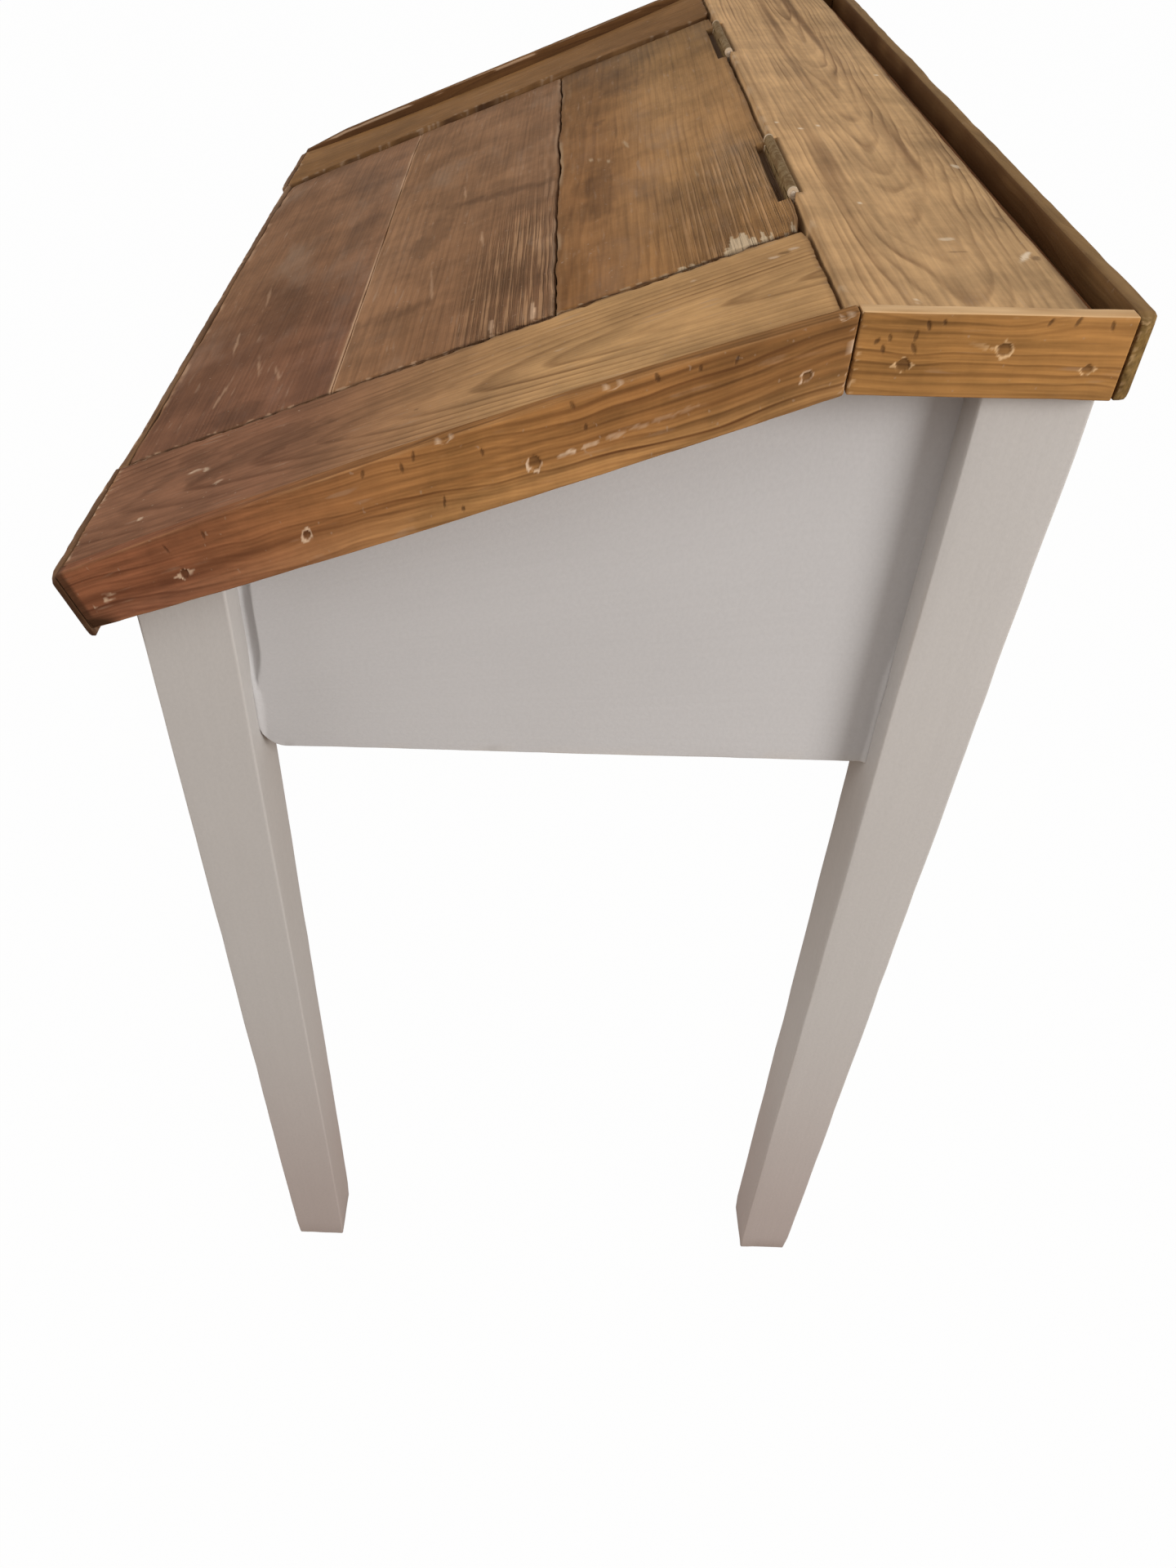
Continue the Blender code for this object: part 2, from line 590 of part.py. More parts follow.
def main():
    """Build the desk."""
    clear_scene()
    desk = empty("desk", (0.0, 0.0, 0.0))
    axis = empty("hinge_axis", (0.0, HINGE_Y, AXIS_Z))
    axis.parent = desk
    pivot = empty("lid_pivot", (0.0, 0.0, 0.0))
    pivot.parent = axis
    back_legs = build_base(desk)
    build_bottom(desk)
    shelf = build_fixed_top(desk, back_legs)
    rear_board = build_lid(pivot)
    build_hinges(axis, pivot, shelf, rear_board)
    bpy.context.view_layer.update()


main()
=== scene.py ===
"""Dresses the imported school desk: worn pine, painted legs and panels, old iron, and a plain studio."""

import json
import logging
import math
from dataclasses import dataclass, field, replace
from enum import Enum
from typing import Callable, Optional, Sequence, Union

import bpy
import numpy as np
from mathutils import Matrix, Vector


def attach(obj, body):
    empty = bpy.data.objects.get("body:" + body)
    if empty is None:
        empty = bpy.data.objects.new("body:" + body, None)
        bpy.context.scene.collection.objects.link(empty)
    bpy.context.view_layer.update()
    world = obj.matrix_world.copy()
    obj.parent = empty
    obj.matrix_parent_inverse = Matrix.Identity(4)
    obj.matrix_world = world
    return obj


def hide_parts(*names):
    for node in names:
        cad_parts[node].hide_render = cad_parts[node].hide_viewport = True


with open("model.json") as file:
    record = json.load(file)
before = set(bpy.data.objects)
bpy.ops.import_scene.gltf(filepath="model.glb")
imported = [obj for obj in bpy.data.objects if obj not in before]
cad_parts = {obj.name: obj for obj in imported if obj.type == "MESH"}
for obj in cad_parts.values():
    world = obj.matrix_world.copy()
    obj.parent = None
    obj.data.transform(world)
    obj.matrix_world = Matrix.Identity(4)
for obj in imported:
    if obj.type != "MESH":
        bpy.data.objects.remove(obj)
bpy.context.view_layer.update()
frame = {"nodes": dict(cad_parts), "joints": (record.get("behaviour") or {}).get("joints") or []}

LOG = logging.getLogger("school_desk")
PHOTO_WIDTH, PHOTO_HEIGHT = 1440.0, 1920.0
SIDES = (("left", -1), ("right", 1))
LID_SLOPE = math.radians(20.0)
MILLIMETRES = 1000.0
WORLD = Matrix.Identity(4)
ORIGIN = (0.0, 0.0, 0.0)
WHITE = (1.0, 1.0, 1.0)

# Lattice: angles at which its lines cross a rounded edge, the next line in, and the least gap between lines
EDGE_ANGLES = (45.0, 30.0, 15.0, 0.0)
EDGE_SUPPORT = 0.0005
LEAST_GAP = 0.00012
ON_FACE = 1e-6
TINY = 1e-9

# Seeded noise: shift between seeds, and the numbers that scramble a cell's place
SEED_SHIFT = 17.37
HASH_AXES = np.array((374761393, 668265263, 1274126177))
HASH_SEED = 97
HASH_MIX = 1103515245
HASH_BITS = 0xFFFFFFFF
HASH_VALUE = 0xFFFF

# Side mouldings: lattice steps, rows round nails and ticks, depths of the marks, and dashes of filler
MOULDING_STEPS = (0.003, 0.0022, 0.0008)
NAIL_STEP = 0.0007
NAIL_DEPTH = 0.0007
TICK_REACH, TICK_STEP = 0.0018, 0.0006
TICK_DEPTH = 0.0004
TAIL_DASHES = 6

Colour = tuple[float, float, float]
Triple = tuple[float, float, float]
Pair = tuple[float, float]
Box = tuple[np.ndarray, np.ndarray]
Heights = Callable[[np.ndarray], np.ndarray]
Socket = bpy.types.NodeSocket
Feed = Union[bpy.types.NodeSocket, float, Sequence[float]]


class Grain(Enum):
    """Which way the fibres run in a piece's own frame, followed by the two axes across them."""

    ALONG_X = ("X", "Y", "Z")
    ALONG_Y = ("Y", "X", "Z")
    ALONG_Z = ("Z", "X", "Y")


class Slot(Enum):
    """The record's material slots for the worn pieces, passed along but not assigned here; the iron stays on
    its CAD nodes.
    """

    PAINT = "painted_wood"
    LID = "lid_wood"
    SHELF = "shelf_wood"
    MOULDING = "moulding_wood"
    DARK = "dark_wood"
    RAW = "raw_wood"


class Body(Enum):
    """The bodies that pieces ride on."""

    DESK = "desk"
    LID = "lid"


class Mask(Enum):
    """What a mesh tells its finish, point by point: bare or filled wood, dirt and painted shade, and rubbed
    edges.
    """

    PALE = "pale"
    DARK = "dark"
    EDGE = "edge"


class Face(Enum):
    """A face of a block: its axis, and which way it looks along that axis."""

    LEFT = (0, -1)
    RIGHT = (0, 1)
    FRONT = (1, -1)
    BACK = (1, 1)
    UNDER = (2, -1)
    TOP = (2, 1)

    @classmethod
    def end(cls, sign: int) -> "Face":
        """Give the left or the right face by its sign."""
        return cls((0, sign))

    @classmethod
    def rim(cls, sign: int) -> "Face":
        """Give the front or the back face by its sign."""
        return cls((1, sign))


@dataclass(frozen=True)
class Weave:
    """Noise drawn out along the grain: lumps to a metre along and across it, octaves and roughness."""

    along: float
    across: float
    octaves: float
    roughness: float = 0.5


# Noise in the wood
DRIFT_ACROSS, DRIFT_OCTAVES = 13.0, 3.0
RING_STRENGTH = Weave(9.0, 24.0, 2.0)
RING_CALM = Weave(3.5, 55.0, 2.0)
STREAKS = Weave(2.4, 75.0, 2.0)
FIBRES = Weave(11.0, 420.0, 3.0)
PATCHES = Weave(3.0, 9.0, 4.0, 0.6)
BLOTCHES = Weave(24.0, 24.0, 5.0, 0.65)
OPEN_GRAIN = Weave(9.0, 700.0, 2.0)
DUST_AND_SHEEN_FILM = Weave(7.0, 18.0, 4.0, 0.65)
SCRATCHES = Weave(38.0, 300.0, 1.0)
SPECKS = Weave(330.0, 330.0, 1.0)

# Noise in the paint, on the iron and on the floor
BRUSH = Weave(7.0, 260.0, 3.0)
PAINT_CLOUD = Weave(7.0, 7.0, 3.0)
PAINT_SPECKS = Weave(420.0, 420.0, 3.0)
RUST_BLOOM = Weave(260.0, 260.0, 4.0, 0.65)
IRON_PITS = Weave(1500.0, 1500.0, 2.0)
FLOOR_CLOUD = Weave(3.0, 3.0, 3.0)

# How dark a year's ring is from its start to its end, and the narrow rings inside it
BROAD_RING = ((0.0, 0.0), (0.25, 0.03), (0.6, 0.4), (0.82, 1.0), (0.92, 0.7), (1.0, 0.0))
NARROW_RING = ((0.0, 0.4), (0.3, 0.0), (0.8, 1.0), (1.0, 0.4))
NARROW_TO_BROAD = 2.7


class Bench:
    """Lays out the nodes of one material."""

    def __init__(self, name: str) -> None:
        """Start a material with a Principled shader.

        Args:
            name: Name of the material.
        """
        self.material = bpy.data.materials.new(name)
        self.material.use_nodes = True
        self.tree = self.material.node_tree
        self.shader = self.tree.nodes["Principled BSDF"]

    def feed(self, socket: Socket, source: Feed) -> None:
        """Link a socket to a source, or set its value.

        Args:
            socket: The input to fill.
            source: Another node's output, a number or a few numbers.
        """
        if isinstance(source, bpy.types.NodeSocket):
            self.tree.links.new(source, socket)
        elif isinstance(source, (int, float)):
            socket.default_value = source
        else:
            values = tuple(source)
            size = len(socket.default_value)
            socket.default_value = values + (1.0,) * (size - len(values))

    def node(self, kind: str, feeds: dict[Union[str, int], Feed], **settings: str) -> bpy.types.Node:
        """Add a node.

        Args:
            kind: Blender's name of the node.
            feeds: What goes into its inputs, by name or number.
            settings: The node's own settings.

        Returns:
            The node.
        """
        made = self.tree.nodes.new(kind)
        for key, value in settings.items():
            setattr(made, key, value)
        for key, source in feeds.items():
            self.feed(made.inputs[key], source)
        return made

    def sum(self, how: str, a: Feed, b: Feed = 0.0) -> Socket:
        """Give the result of a Math node on one or two values."""
        return self.node("ShaderNodeMath", {0: a, 1: b}, operation=how).outputs[0]

    def arrow(self, how: str, *vectors: Feed) -> Socket:
        """Give the vector that a Vector Math node makes of others."""
        return self.node("ShaderNodeVectorMath", dict(enumerate(vectors)), operation=how).outputs["Vector"]

    def length(self, vector: Feed) -> Socket:
        """Give the length of a vector."""
        return self.node("ShaderNodeVectorMath", {0: vector}, operation="LENGTH").outputs["Value"]

    def scaled(self, vector: Feed, by: Feed) -> Socket:
        """Scale a vector or a colour by one value."""
        made = self.node("ShaderNodeVectorMath", {0: vector, "Scale": by}, operation="SCALE")
        return made.outputs["Vector"]

    def noise(self, place: Feed, weave: Weave, start: Triple = ORIGIN) -> bpy.types.Node:
        """Add a noise texture.

        Args:
            place: Where a point lies, with the grain's way first.
            weave: Size of the noise's lumps.
            start: Where in the endless noise it starts.

        Returns:
            The texture's node.
        """
        vector = self.arrow("MULTIPLY_ADD", place, (weave.along, weave.across, weave.across), start)
        return self.node("ShaderNodeTexNoise", {"Vector": vector, "Scale": 1.0, "Detail": weave.octaves,
                                                "Roughness": weave.roughness})

    def between(self, value: Feed, low: float, high: float, start: float = 0.0, end: float = 1.0) -> Socket:
        """Carry a value from one range to another, softly, and stop at its ends."""
        made = self.node("ShaderNodeMapRange", {0: value, 1: low, 2: high, 3: start, 4: end},
                         interpolation_type="SMOOTHSTEP")
        return made.outputs[0]

    def blend(self, share: Feed, a: Feed, b: Feed, how: str = "MIX") -> Socket:
        """Mix two colours by a share."""
        made = self.node("ShaderNodeMix", {0: share, 6: a, 7: b}, data_type="RGBA", blend_type=how)
        return made.outputs[2]

    def steps(self, value: Feed, stops: Sequence[Pair]) -> Socket:
        """Shape a value by a ramp of greys.

        Args:
            value: The value from 0 to 1.
            stops: Places on the ramp with their greys.

        Returns:
            The shaped value.
        """
        made = self.node("ShaderNodeValToRGB", {0: value})
        ramp_of_greys = made.color_ramp
        while len(ramp_of_greys.elements) < len(stops):
            ramp_of_greys.elements.new(1.0)
        for element, (place, grey) in zip(ramp_of_greys.elements, stops):
            element.position = place
            element.color = (grey, grey, grey, 1.0)
        return made.outputs[0]

    def lay(self, grain: Grain) -> tuple[Socket, bpy.types.NodeOutputs, Socket]:
        """Read where a point lies in its piece's own straight frame, and turn that to the grain.

        Args:
            grain: Which way the fibres run.

        Returns:
            The place, its coordinates by axis, and the place with the grain's way first.
        """
        place = self.node("ShaderNodeAttribute", {}, attribute_name="own").outputs["Vector"]
        parts = self.node("ShaderNodeSeparateXYZ", {0: place}).outputs
        turned_parts = [parts[axis] for axis in grain.value]
        run = self.node("ShaderNodeCombineXYZ", dict(enumerate(turned_parts))).outputs[0]
        return place, parts, run

    def here(self) -> Socket:
        """Read where a point lies in its object's frame."""
        return self.node("ShaderNodeTexCoord", {}).outputs["Object"]

    def mask(self, mask: Mask) -> Socket:
        """Read one of a piece's masks."""
        return self.node("ShaderNodeAttribute", {}, attribute_name=mask.value).outputs["Fac"]

    def finish(self, colour: Feed, roughness: Feed, height: Feed, depth: float,
               gloss: float) -> bpy.types.Material:
        """Join colour, roughness and relief to the shader.

        Args:
            colour: The surface's colour.
            roughness: Its roughness.
            height: Its relief from 0 to 1.
            depth: How deep a relief of 1 is, in metres.
            gloss: How strongly it mirrors.

        Returns:
            The material.
        """
        self.shader.inputs["Specular IOR Level"].default_value = gloss
        self.feed(self.shader.inputs["Base Color"], colour)
        self.feed(self.shader.inputs["Roughness"], roughness)
        bump = self.node("ShaderNodeBump", {"Strength": 1.0, "Distance": depth, "Height": height})
        self.feed(self.shader.inputs["Normal"], bump.outputs[0])
        return self.material


@dataclass(frozen=True)
class Fade:
    """A tint that comes on along one axis of a piece."""

    axis: str
    start: float
    end: float
    tint: Colour

    def over(self, b: Bench, parts: bpy.types.NodeOutputs, colour: Feed) -> Socket:
        """Tint a colour where the fade has come on."""
        return b.blend(b.between(parts[self.axis], self.start, self.end), colour, self.tint, "MULTIPLY")


@dataclass(frozen=True)
class Weather:
    """A place on a board where sun and water have opened the grain and bleached its ridges."""

    centre: Triple
    reach: Triple
    bleached: Colour = (0.46, 0.28, 0.15)
    relief: float = 1.6

    def opening(self, b: Bench, place: Socket, streak: Socket) -> Socket:
        """Give how open the grain is.

        Args:
            b: The bench of the material.
            place: Where a point lies.
            streak: Noise drawn out along the grain.

        Returns:
            A value from -1 in a furrow to 1 on a ridge, and 0 away from the place.
        """
        off = b.arrow("DIVIDE", b.arrow("SUBTRACT", place, self.centre), self.reach)
        near = b.between(b.length(off), 0.25, 1.0, 1.0, 0.0)
        return b.sum("MULTIPLY", b.between(streak, 0.40, 0.60, -1.0, 1.0), near)


@dataclass(frozen=True)
class WoodFinish:
    """Old pine: rings about a pith, fibres, stains, rubbed edges and filled marks."""

    name: str
    pale: Colour
    dark: Colour
    grain: Grain
    pitch: float = 0.004
    pith: Pair = (0.05, -0.06)
    lean: Pair = (0.02, 0.03)
    sway: float = 0.006
    wander: float = 4.0
    ringed: float = 1.0
    patchy: float = 0.0
    streaked: float = 0.0
    fine: float = 0.22
    fibre: float = 0.22
    mottle: float = 0.20
    stain: Colour = (0.080, 0.037, 0.021)
    stained: float = 0.4
    scuff: Colour = (0.36, 0.25, 0.17)
    scuffed: float = 0.35
    # Colour and share of a pale film in broad patches: partly dust, partly painted sheen.
    dust_and_sheen: Colour = (0.30, 0.21, 0.145)
    dust_and_sheen_share: float = 0.0
    filler: Colour = (0.58, 0.42, 0.29)
    crack_and_shade: Colour = (0.050, 0.022, 0.010)
    rubbed: Colour = (0.36, 0.20, 0.09)
    roughness: float = 0.70
    gloss: float = 0.08
    relief: float = 0.00035
    seed: float = 0.0
    fades: tuple[Fade, ...] = ()
    weather: Optional[Weather] = None

    def material(self) -> bpy.types.Material:
        """Build the finish.

        Returns:
            The material, laid out in the frame of the piece that wears it.
        """
        b = Bench(self.name)
        place, parts, run = b.lay(self.grain)
        start = (self.seed * 3.1, self.seed * 1.7, self.seed * 2.3)

        def grained(weave: Weave) -> Socket:
            """Give noise drawn out along the grain."""
            return b.noise(run, weave, start).outputs[0]

        ring = self.rings(b, run, parts[self.grain.value[0]], start)
        fibre = grained(FIBRES)
        patch = grained(PATCHES)
        blotch = b.noise(place, BLOTCHES, start).outputs[0]
        height = b.sum("ADD", b.sum("MULTIPLY", ring, 0.45), b.sum("MULTIPLY", fibre, 0.55))
        colour = b.blend(ring, self.pale, self.dark)
        if self.streaked:
            streak = b.between(grained(STREAKS), 0.50, 0.68, 0.0, self.streaked)
            colour = b.blend(streak, colour, self.dark)
        if self.weather:
            opening = self.weather.opening(b, place, grained(OPEN_GRAIN))
            height = b.sum("ADD", height, b.sum("MULTIPLY", opening, self.weather.relief))
            colour = b.blend(b.between(opening, 0.15, 1.0, 0.0, 0.42), colour, self.weather.bleached)
            colour = b.scaled(colour, b.between(opening, -0.1, -1.0, 1.08, 0.84))
        shade = b.sum("ADD", b.between(fibre, 0.25, 0.75, 1.0 - self.fibre, 1.0 + self.fibre),
                      b.between(blotch, 0.25, 0.75, -self.mottle, self.mottle))
        colour = b.scaled(colour, shade)
        colour = b.blend(b.between(patch, 0.42, 0.72, 0.0, self.stained), colour, self.stain)
        # Pale film in broad patches: partly dust, partly painted sheen on the boards.
        if self.dust_and_sheen_share:
            colour = b.blend(b.between(grained(DUST_AND_SHEEN_FILM), 0.50, 0.72, 0.0, self.dust_and_sheen_share), colour, self.dust_and_sheen)
        for fade in self.fades:
            colour = fade.over(b, parts, colour)
        scratch = b.sum("MULTIPLY", b.between(grained(SCRATCHES), 0.64, 0.76, 0.0, self.scuffed),
                        b.between(blotch, 0.4, 0.6))
        speck = b.between(b.noise(place, SPECKS, start).outputs[0], 0.72, 0.80, 0.0, self.scuffed * 1.6)
        colour = b.blend(b.sum("MAXIMUM", scratch, speck), colour, self.scuff)
        rub = b.sum("MULTIPLY", b.mask(Mask.EDGE), b.between(fibre, 0.3, 0.6, 0.15, 0.75))
        colour = b.blend(rub, colour, self.rubbed)
        colour = b.blend(b.mask(Mask.PALE), colour, self.filler)
        colour = b.blend(b.mask(Mask.DARK), colour, self.crack_and_shade)
        roughness = b.between(patch, 0.3, 0.7, self.roughness - 0.08, self.roughness + 0.12)
        return b.finish(colour, roughness, height, self.relief, self.gloss)

    def rings(self, b: Bench, run: Socket, along: Socket, start: Triple) -> Socket:
        """Lay the year rings as shells about a leaning, swaying pith, each with a strength of its own.

        Args:
            b: The bench of the material.
            run: Where a point lies, with the grain's way first.
            along: How far along the grain it lies.
            start: Where in the endless noise this finish starts.

        Returns:
            How dark the rings are at the point.
        """
        drift = b.noise(run, Weave(self.wander, DRIFT_ACROSS, DRIFT_OCTAVES), start)
        push = b.arrow("MULTIPLY_ADD", drift.outputs[1], (0.0, 2 * self.sway, 2 * self.sway),
                       (0.0, -self.sway, -self.sway))
        lean = b.scaled((0.0, *self.lean), along)
        swayed = b.arrow("ADD", b.arrow("ADD", run, push), lean)
        off = b.arrow("MULTIPLY_ADD", swayed, (0.0, 1.0, 1.0), (0.0, -self.pith[0], -self.pith[1]))
        phase = b.sum("ADD", b.sum("MULTIPLY", b.length(off), 1.0 / self.pitch), drift.outputs[0])
        number = b.sum("FLOOR", phase)
        year = b.node("ShaderNodeTexWhiteNoise", {"W": number}, noise_dimensions="1D").outputs[0]
        broad = b.steps(b.sum("FRACT", phase), BROAD_RING)
        narrow = b.steps(b.sum("FRACT", b.sum("MULTIPLY", phase, NARROW_TO_BROAD)), NARROW_RING)
        patch = b.noise(run, RING_STRENGTH, start).outputs[0]
        strong = b.sum("MULTIPLY", b.between(year, 0.0, 1.0, 0.35, 1.0), b.between(patch, 0.3, 0.7, 0.4, 1.0))
        ring = b.sum("ADD", b.sum("MULTIPLY", broad, strong), b.sum("MULTIPLY", narrow, self.fine))
        ring = b.sum("MULTIPLY", ring, self.ringed)
        if self.patchy:
            calm = b.noise(run, RING_CALM, start).outputs[0]
            ring = b.sum("MULTIPLY", ring, b.between(calm, 0.40, 0.62, 1.0 - self.patchy, 1.0))
        return ring


@dataclass(frozen=True)
class PaintFinish:
    """Satin paint brushed along a piece, thin at its edges."""

    name: str
    colour: Colour
    grain: Grain
    bare: Colour = (0.40, 0.33, 0.26)
    chipped: Colour = (0.62, 0.52, 0.38)
    dirt: Colour = (0.14, 0.12, 0.10)
    # Optional fade of painted shade, darker towards one end of the piece.
    low_shade: Optional[Fade] = None
    roughness: float = 0.6
    gloss: float = 0.25
    relief: float = 0.00018
    seed: float = 0.0

    def material(self) -> bpy.types.Material:
        """Build the finish.

        Returns:
            The material, laid out in the frame of the piece that wears it.
        """
        b = Bench(self.name)
        place, parts, run = b.lay(self.grain)
        start = (self.seed * 2.9, self.seed * 1.3, self.seed * 3.7)
        brush = b.noise(run, BRUSH, start).outputs[0]
        cloud = b.noise(place, PAINT_CLOUD, start).outputs[0]
        speck = b.noise(place, PAINT_SPECKS, start).outputs[0]
        shade = b.sum("ADD", b.between(brush, 0.2, 0.8, 0.990, 1.010),
                      b.between(cloud, 0.2, 0.8, -0.02, 0.02))
        shade = b.sum("ADD", shade, b.between(speck, 0.3, 0.7, -0.018, 0.018))
        colour = b.scaled(self.colour, shade)
        if self.low_shade:
            colour = self.low_shade.over(b, parts, colour)
        thin = b.sum("MULTIPLY", b.mask(Mask.EDGE), b.between(cloud, 0.45, 0.65, 0.03, 0.25))
        colour = b.blend(thin, colour, self.bare)
        colour = b.blend(b.mask(Mask.PALE), colour, self.chipped)
        colour = b.blend(b.mask(Mask.DARK), colour, self.dirt)
        height = b.sum("ADD", b.sum("MULTIPLY", brush, 0.5), b.sum("MULTIPLY", speck, 0.5))
        roughness = b.between(cloud, 0.3, 0.7, self.roughness - 0.06, self.roughness + 0.08)
        return b.finish(colour, roughness, height, self.relief, self.gloss)


@dataclass(frozen=True)
class IronFinish:
    """Dull iron with patches of rust, and bright where it is cut off."""

    name: str
    steel: Colour
    rust: Colour
    rusted: Pair
    roughness: float
    metallic: float
    tips: tuple[float, ...] = ()
    tip: Colour = (0.50, 0.38, 0.26)
    tip_reach: Pair = (0.0036, 0.0018)
    gloss: float = 0.12
    relief: float = 0.00006

    def material(self) -> bpy.types.Material:
        """Build the finish.

        Returns:
            The material.
        """
        b = Bench(self.name)
        place = b.here()
        bloom = b.noise(place, RUST_BLOOM).outputs[0]
        pits = b.noise(place, IRON_PITS).outputs[0]
        steel = b.scaled(self.steel, b.between(pits, 0.2, 0.8, 0.92, 1.08))
        colour = b.blend(b.between(bloom, *self.rusted), steel, self.rust)
        across = b.node("ShaderNodeSeparateXYZ", {0: place}).outputs["X"]
        for spot in self.tips:
            gap = b.sum("ABSOLUTE", b.sum("SUBTRACT", across, spot))
            colour = b.blend(b.between(gap, *self.tip_reach), colour, self.tip)
        b.shader.inputs["Metallic"].default_value = self.metallic
        roughness = b.between(bloom, 0.3, 0.7, self.roughness - 0.1, self.roughness + 0.2)
        return b.finish(colour, roughness, pits, self.relief, self.gloss)


# Finishes of the lid
LID_FRONT_PINE = WoodFinish(
    "lid_front_pine", (0.226, 0.114, 0.056), (0.121, 0.058, 0.029), Grain.ALONG_X, pitch=0.0030,
    pith=(0.16, -0.10), lean=(0.01, 0.02), sway=0.004, ringed=0.55, fibre=0.13, mottle=0.24, seed=1.0,
    filler=(0.66, 0.43, 0.27), dust_and_sheen_share=0.35, fades=(Fade("X", -0.05, 0.28, (0.86, 0.76, 0.82)),))
LID_MIDDLE_PINE = replace(
    LID_FRONT_PINE, name="lid_middle_pine", pale=(0.243, 0.127, 0.062), dark=(0.129, 0.062, 0.029),
    pith=(-0.30, -0.09), seed=2.0, stain=(0.100, 0.052, 0.027), stained=0.3,
    fades=(Fade("X", 0.0, 0.28, (1.0, 0.96, 0.93)),),
    weather=Weather((0.22, -0.155, 0.0), (0.24, 0.055, 0.05)))
LID_REAR_PINE = replace(
    LID_FRONT_PINE, name="lid_rear_pine", pale=(0.362, 0.197, 0.079), dark=(0.184, 0.093, 0.037),
    pith=(-0.16, -0.12), seed=3.0, filler=(0.60, 0.46, 0.30), stained=0.3,
    fades=(Fade("Y", -0.045, -0.115, (0.76, 0.68, 0.64)),
           Fade("X", 0.06, -0.28, (0.62, 0.62, 0.57)),
           Fade("X", 0.16, 0.27, (0.97, 0.93, 0.86))),
    weather=Weather((0.22, -0.02, 0.0), (0.20, 0.075, 0.05)))
NEAR_CLEAT_PINE = WoodFinish(
    "near_cleat_pine", (0.508, 0.294, 0.124), (0.217, 0.108, 0.039), Grain.ALONG_Y, pitch=0.0050,
    pith=(0.345, -0.010), lean=(0.0, -0.13), sway=0.008, wander=5.0, patchy=0.4, fine=0.05, fibre=0.12,
    seed=4.0, stained=0.22, fades=(Fade("Y", -0.10, -0.30, (0.48, 0.385, 0.49)),))
FAR_CLEAT_PINE = replace(
    NEAR_CLEAT_PINE, name="far_cleat_pine", pale=(0.236, 0.118, 0.041), dark=(0.137, 0.066, 0.023),
    pith=(-0.40, -0.06), seed=5.0, fades=())
NEAR_SLOPE_PINE = WoodFinish(
    "slope_moulding_pine", (0.350, 0.166, 0.054), (0.105, 0.038, 0.011), Grain.ALONG_Y, pitch=0.0038,
    pith=(0.34, -0.10), lean=(0.0, 0.03), sway=0.013, wander=6.0, ringed=1.05, patchy=0.4, streaked=0.35,
    seed=6.0, stained=0.15, scuffed=0.25, filler=(0.66, 0.48, 0.33),
    fades=(Fade("Y", -0.16, -0.36, (0.68, 0.55, 0.80)),
           Fade("Y", -0.09, -0.02, (0.76, 0.77, 0.80)),
           Fade("Z", -0.018, -0.031, (1.24, 1.36, 1.5))))
FAR_SLOPE_PINE = replace(
    NEAR_SLOPE_PINE, name="far_slope_moulding_pine", pith=(-0.34, -0.08), seed=7.0,
    fades=(Fade("Y", -0.16, -0.36, (0.72, 0.70, 0.72)),))
LIPPING_PINE = replace(
    LID_FRONT_PINE, name="lipping_pine", pale=(0.150, 0.078, 0.040), dark=(0.085, 0.040, 0.020),
    pith=(-0.42, -0.05), seed=8.0, fades=())

# Finishes of the fixed top
SHELF_PINE = WoodFinish(
    "shelf_pine", (0.500, 0.306, 0.146), (0.180, 0.094, 0.040), Grain.ALONG_X, pitch=0.0033,
    pith=(0.185, 0.858), lean=(0.01, 0.055), sway=0.0080, patchy=0.5, streaked=0.85, fine=0.06, fibre=0.15,
    seed=9.0, stained=0.10, scuffed=0.2, filler=(0.72, 0.58, 0.42),
    fades=(Fade("X", 0.20, 0.38, (0.92, 0.92, 0.92)),
           Fade("Y", 0.190, 0.235, (0.91, 0.93, 0.94)),
           Fade("Y", 0.165, 0.135, (1.09, 1.08, 1.07))))
TROUGH_PINE = WoodFinish(
    "trough_pine", (0.290, 0.128, 0.054), (0.180, 0.074, 0.028), Grain.ALONG_X, seed=10.0, scuffed=0.05)
NEAR_LEVEL_PINE = replace(
    NEAR_SLOPE_PINE, name="rear_moulding_pine", pale=(0.352, 0.173, 0.053), dark=(0.112, 0.046, 0.013),
    pith=(0.36, 0.74), lean=(0.0, 0.02), seed=11.0, pitch=0.0042, sway=0.016, ringed=0.75, patchy=0.5,
    filler=(0.68, 0.45, 0.24), fades=(Fade("Z", 0.856, 0.846, (1.15, 1.2, 1.25)),))
FAR_LEVEL_PINE = replace(NEAR_LEVEL_PINE, name="far_rear_moulding_pine", pith=(-0.40, 0.75), seed=12.0)
# The back moulding's darkest colour is that of its face in the trough: a dark wood tone with painted shade.
BACK_MOULDING_PINE = replace(
    NEAR_LEVEL_PINE, name="back_moulding_pine", grain=Grain.ALONG_X, pith=(0.32, 0.80), seed=13.0,
    pale=(0.260, 0.150, 0.060), crack_and_shade=(0.078, 0.034, 0.011), rubbed=(0.170, 0.105, 0.045),
    fades=(Fade("X", 0.391, 0.399, (0.74, 0.79, 0.66)),))

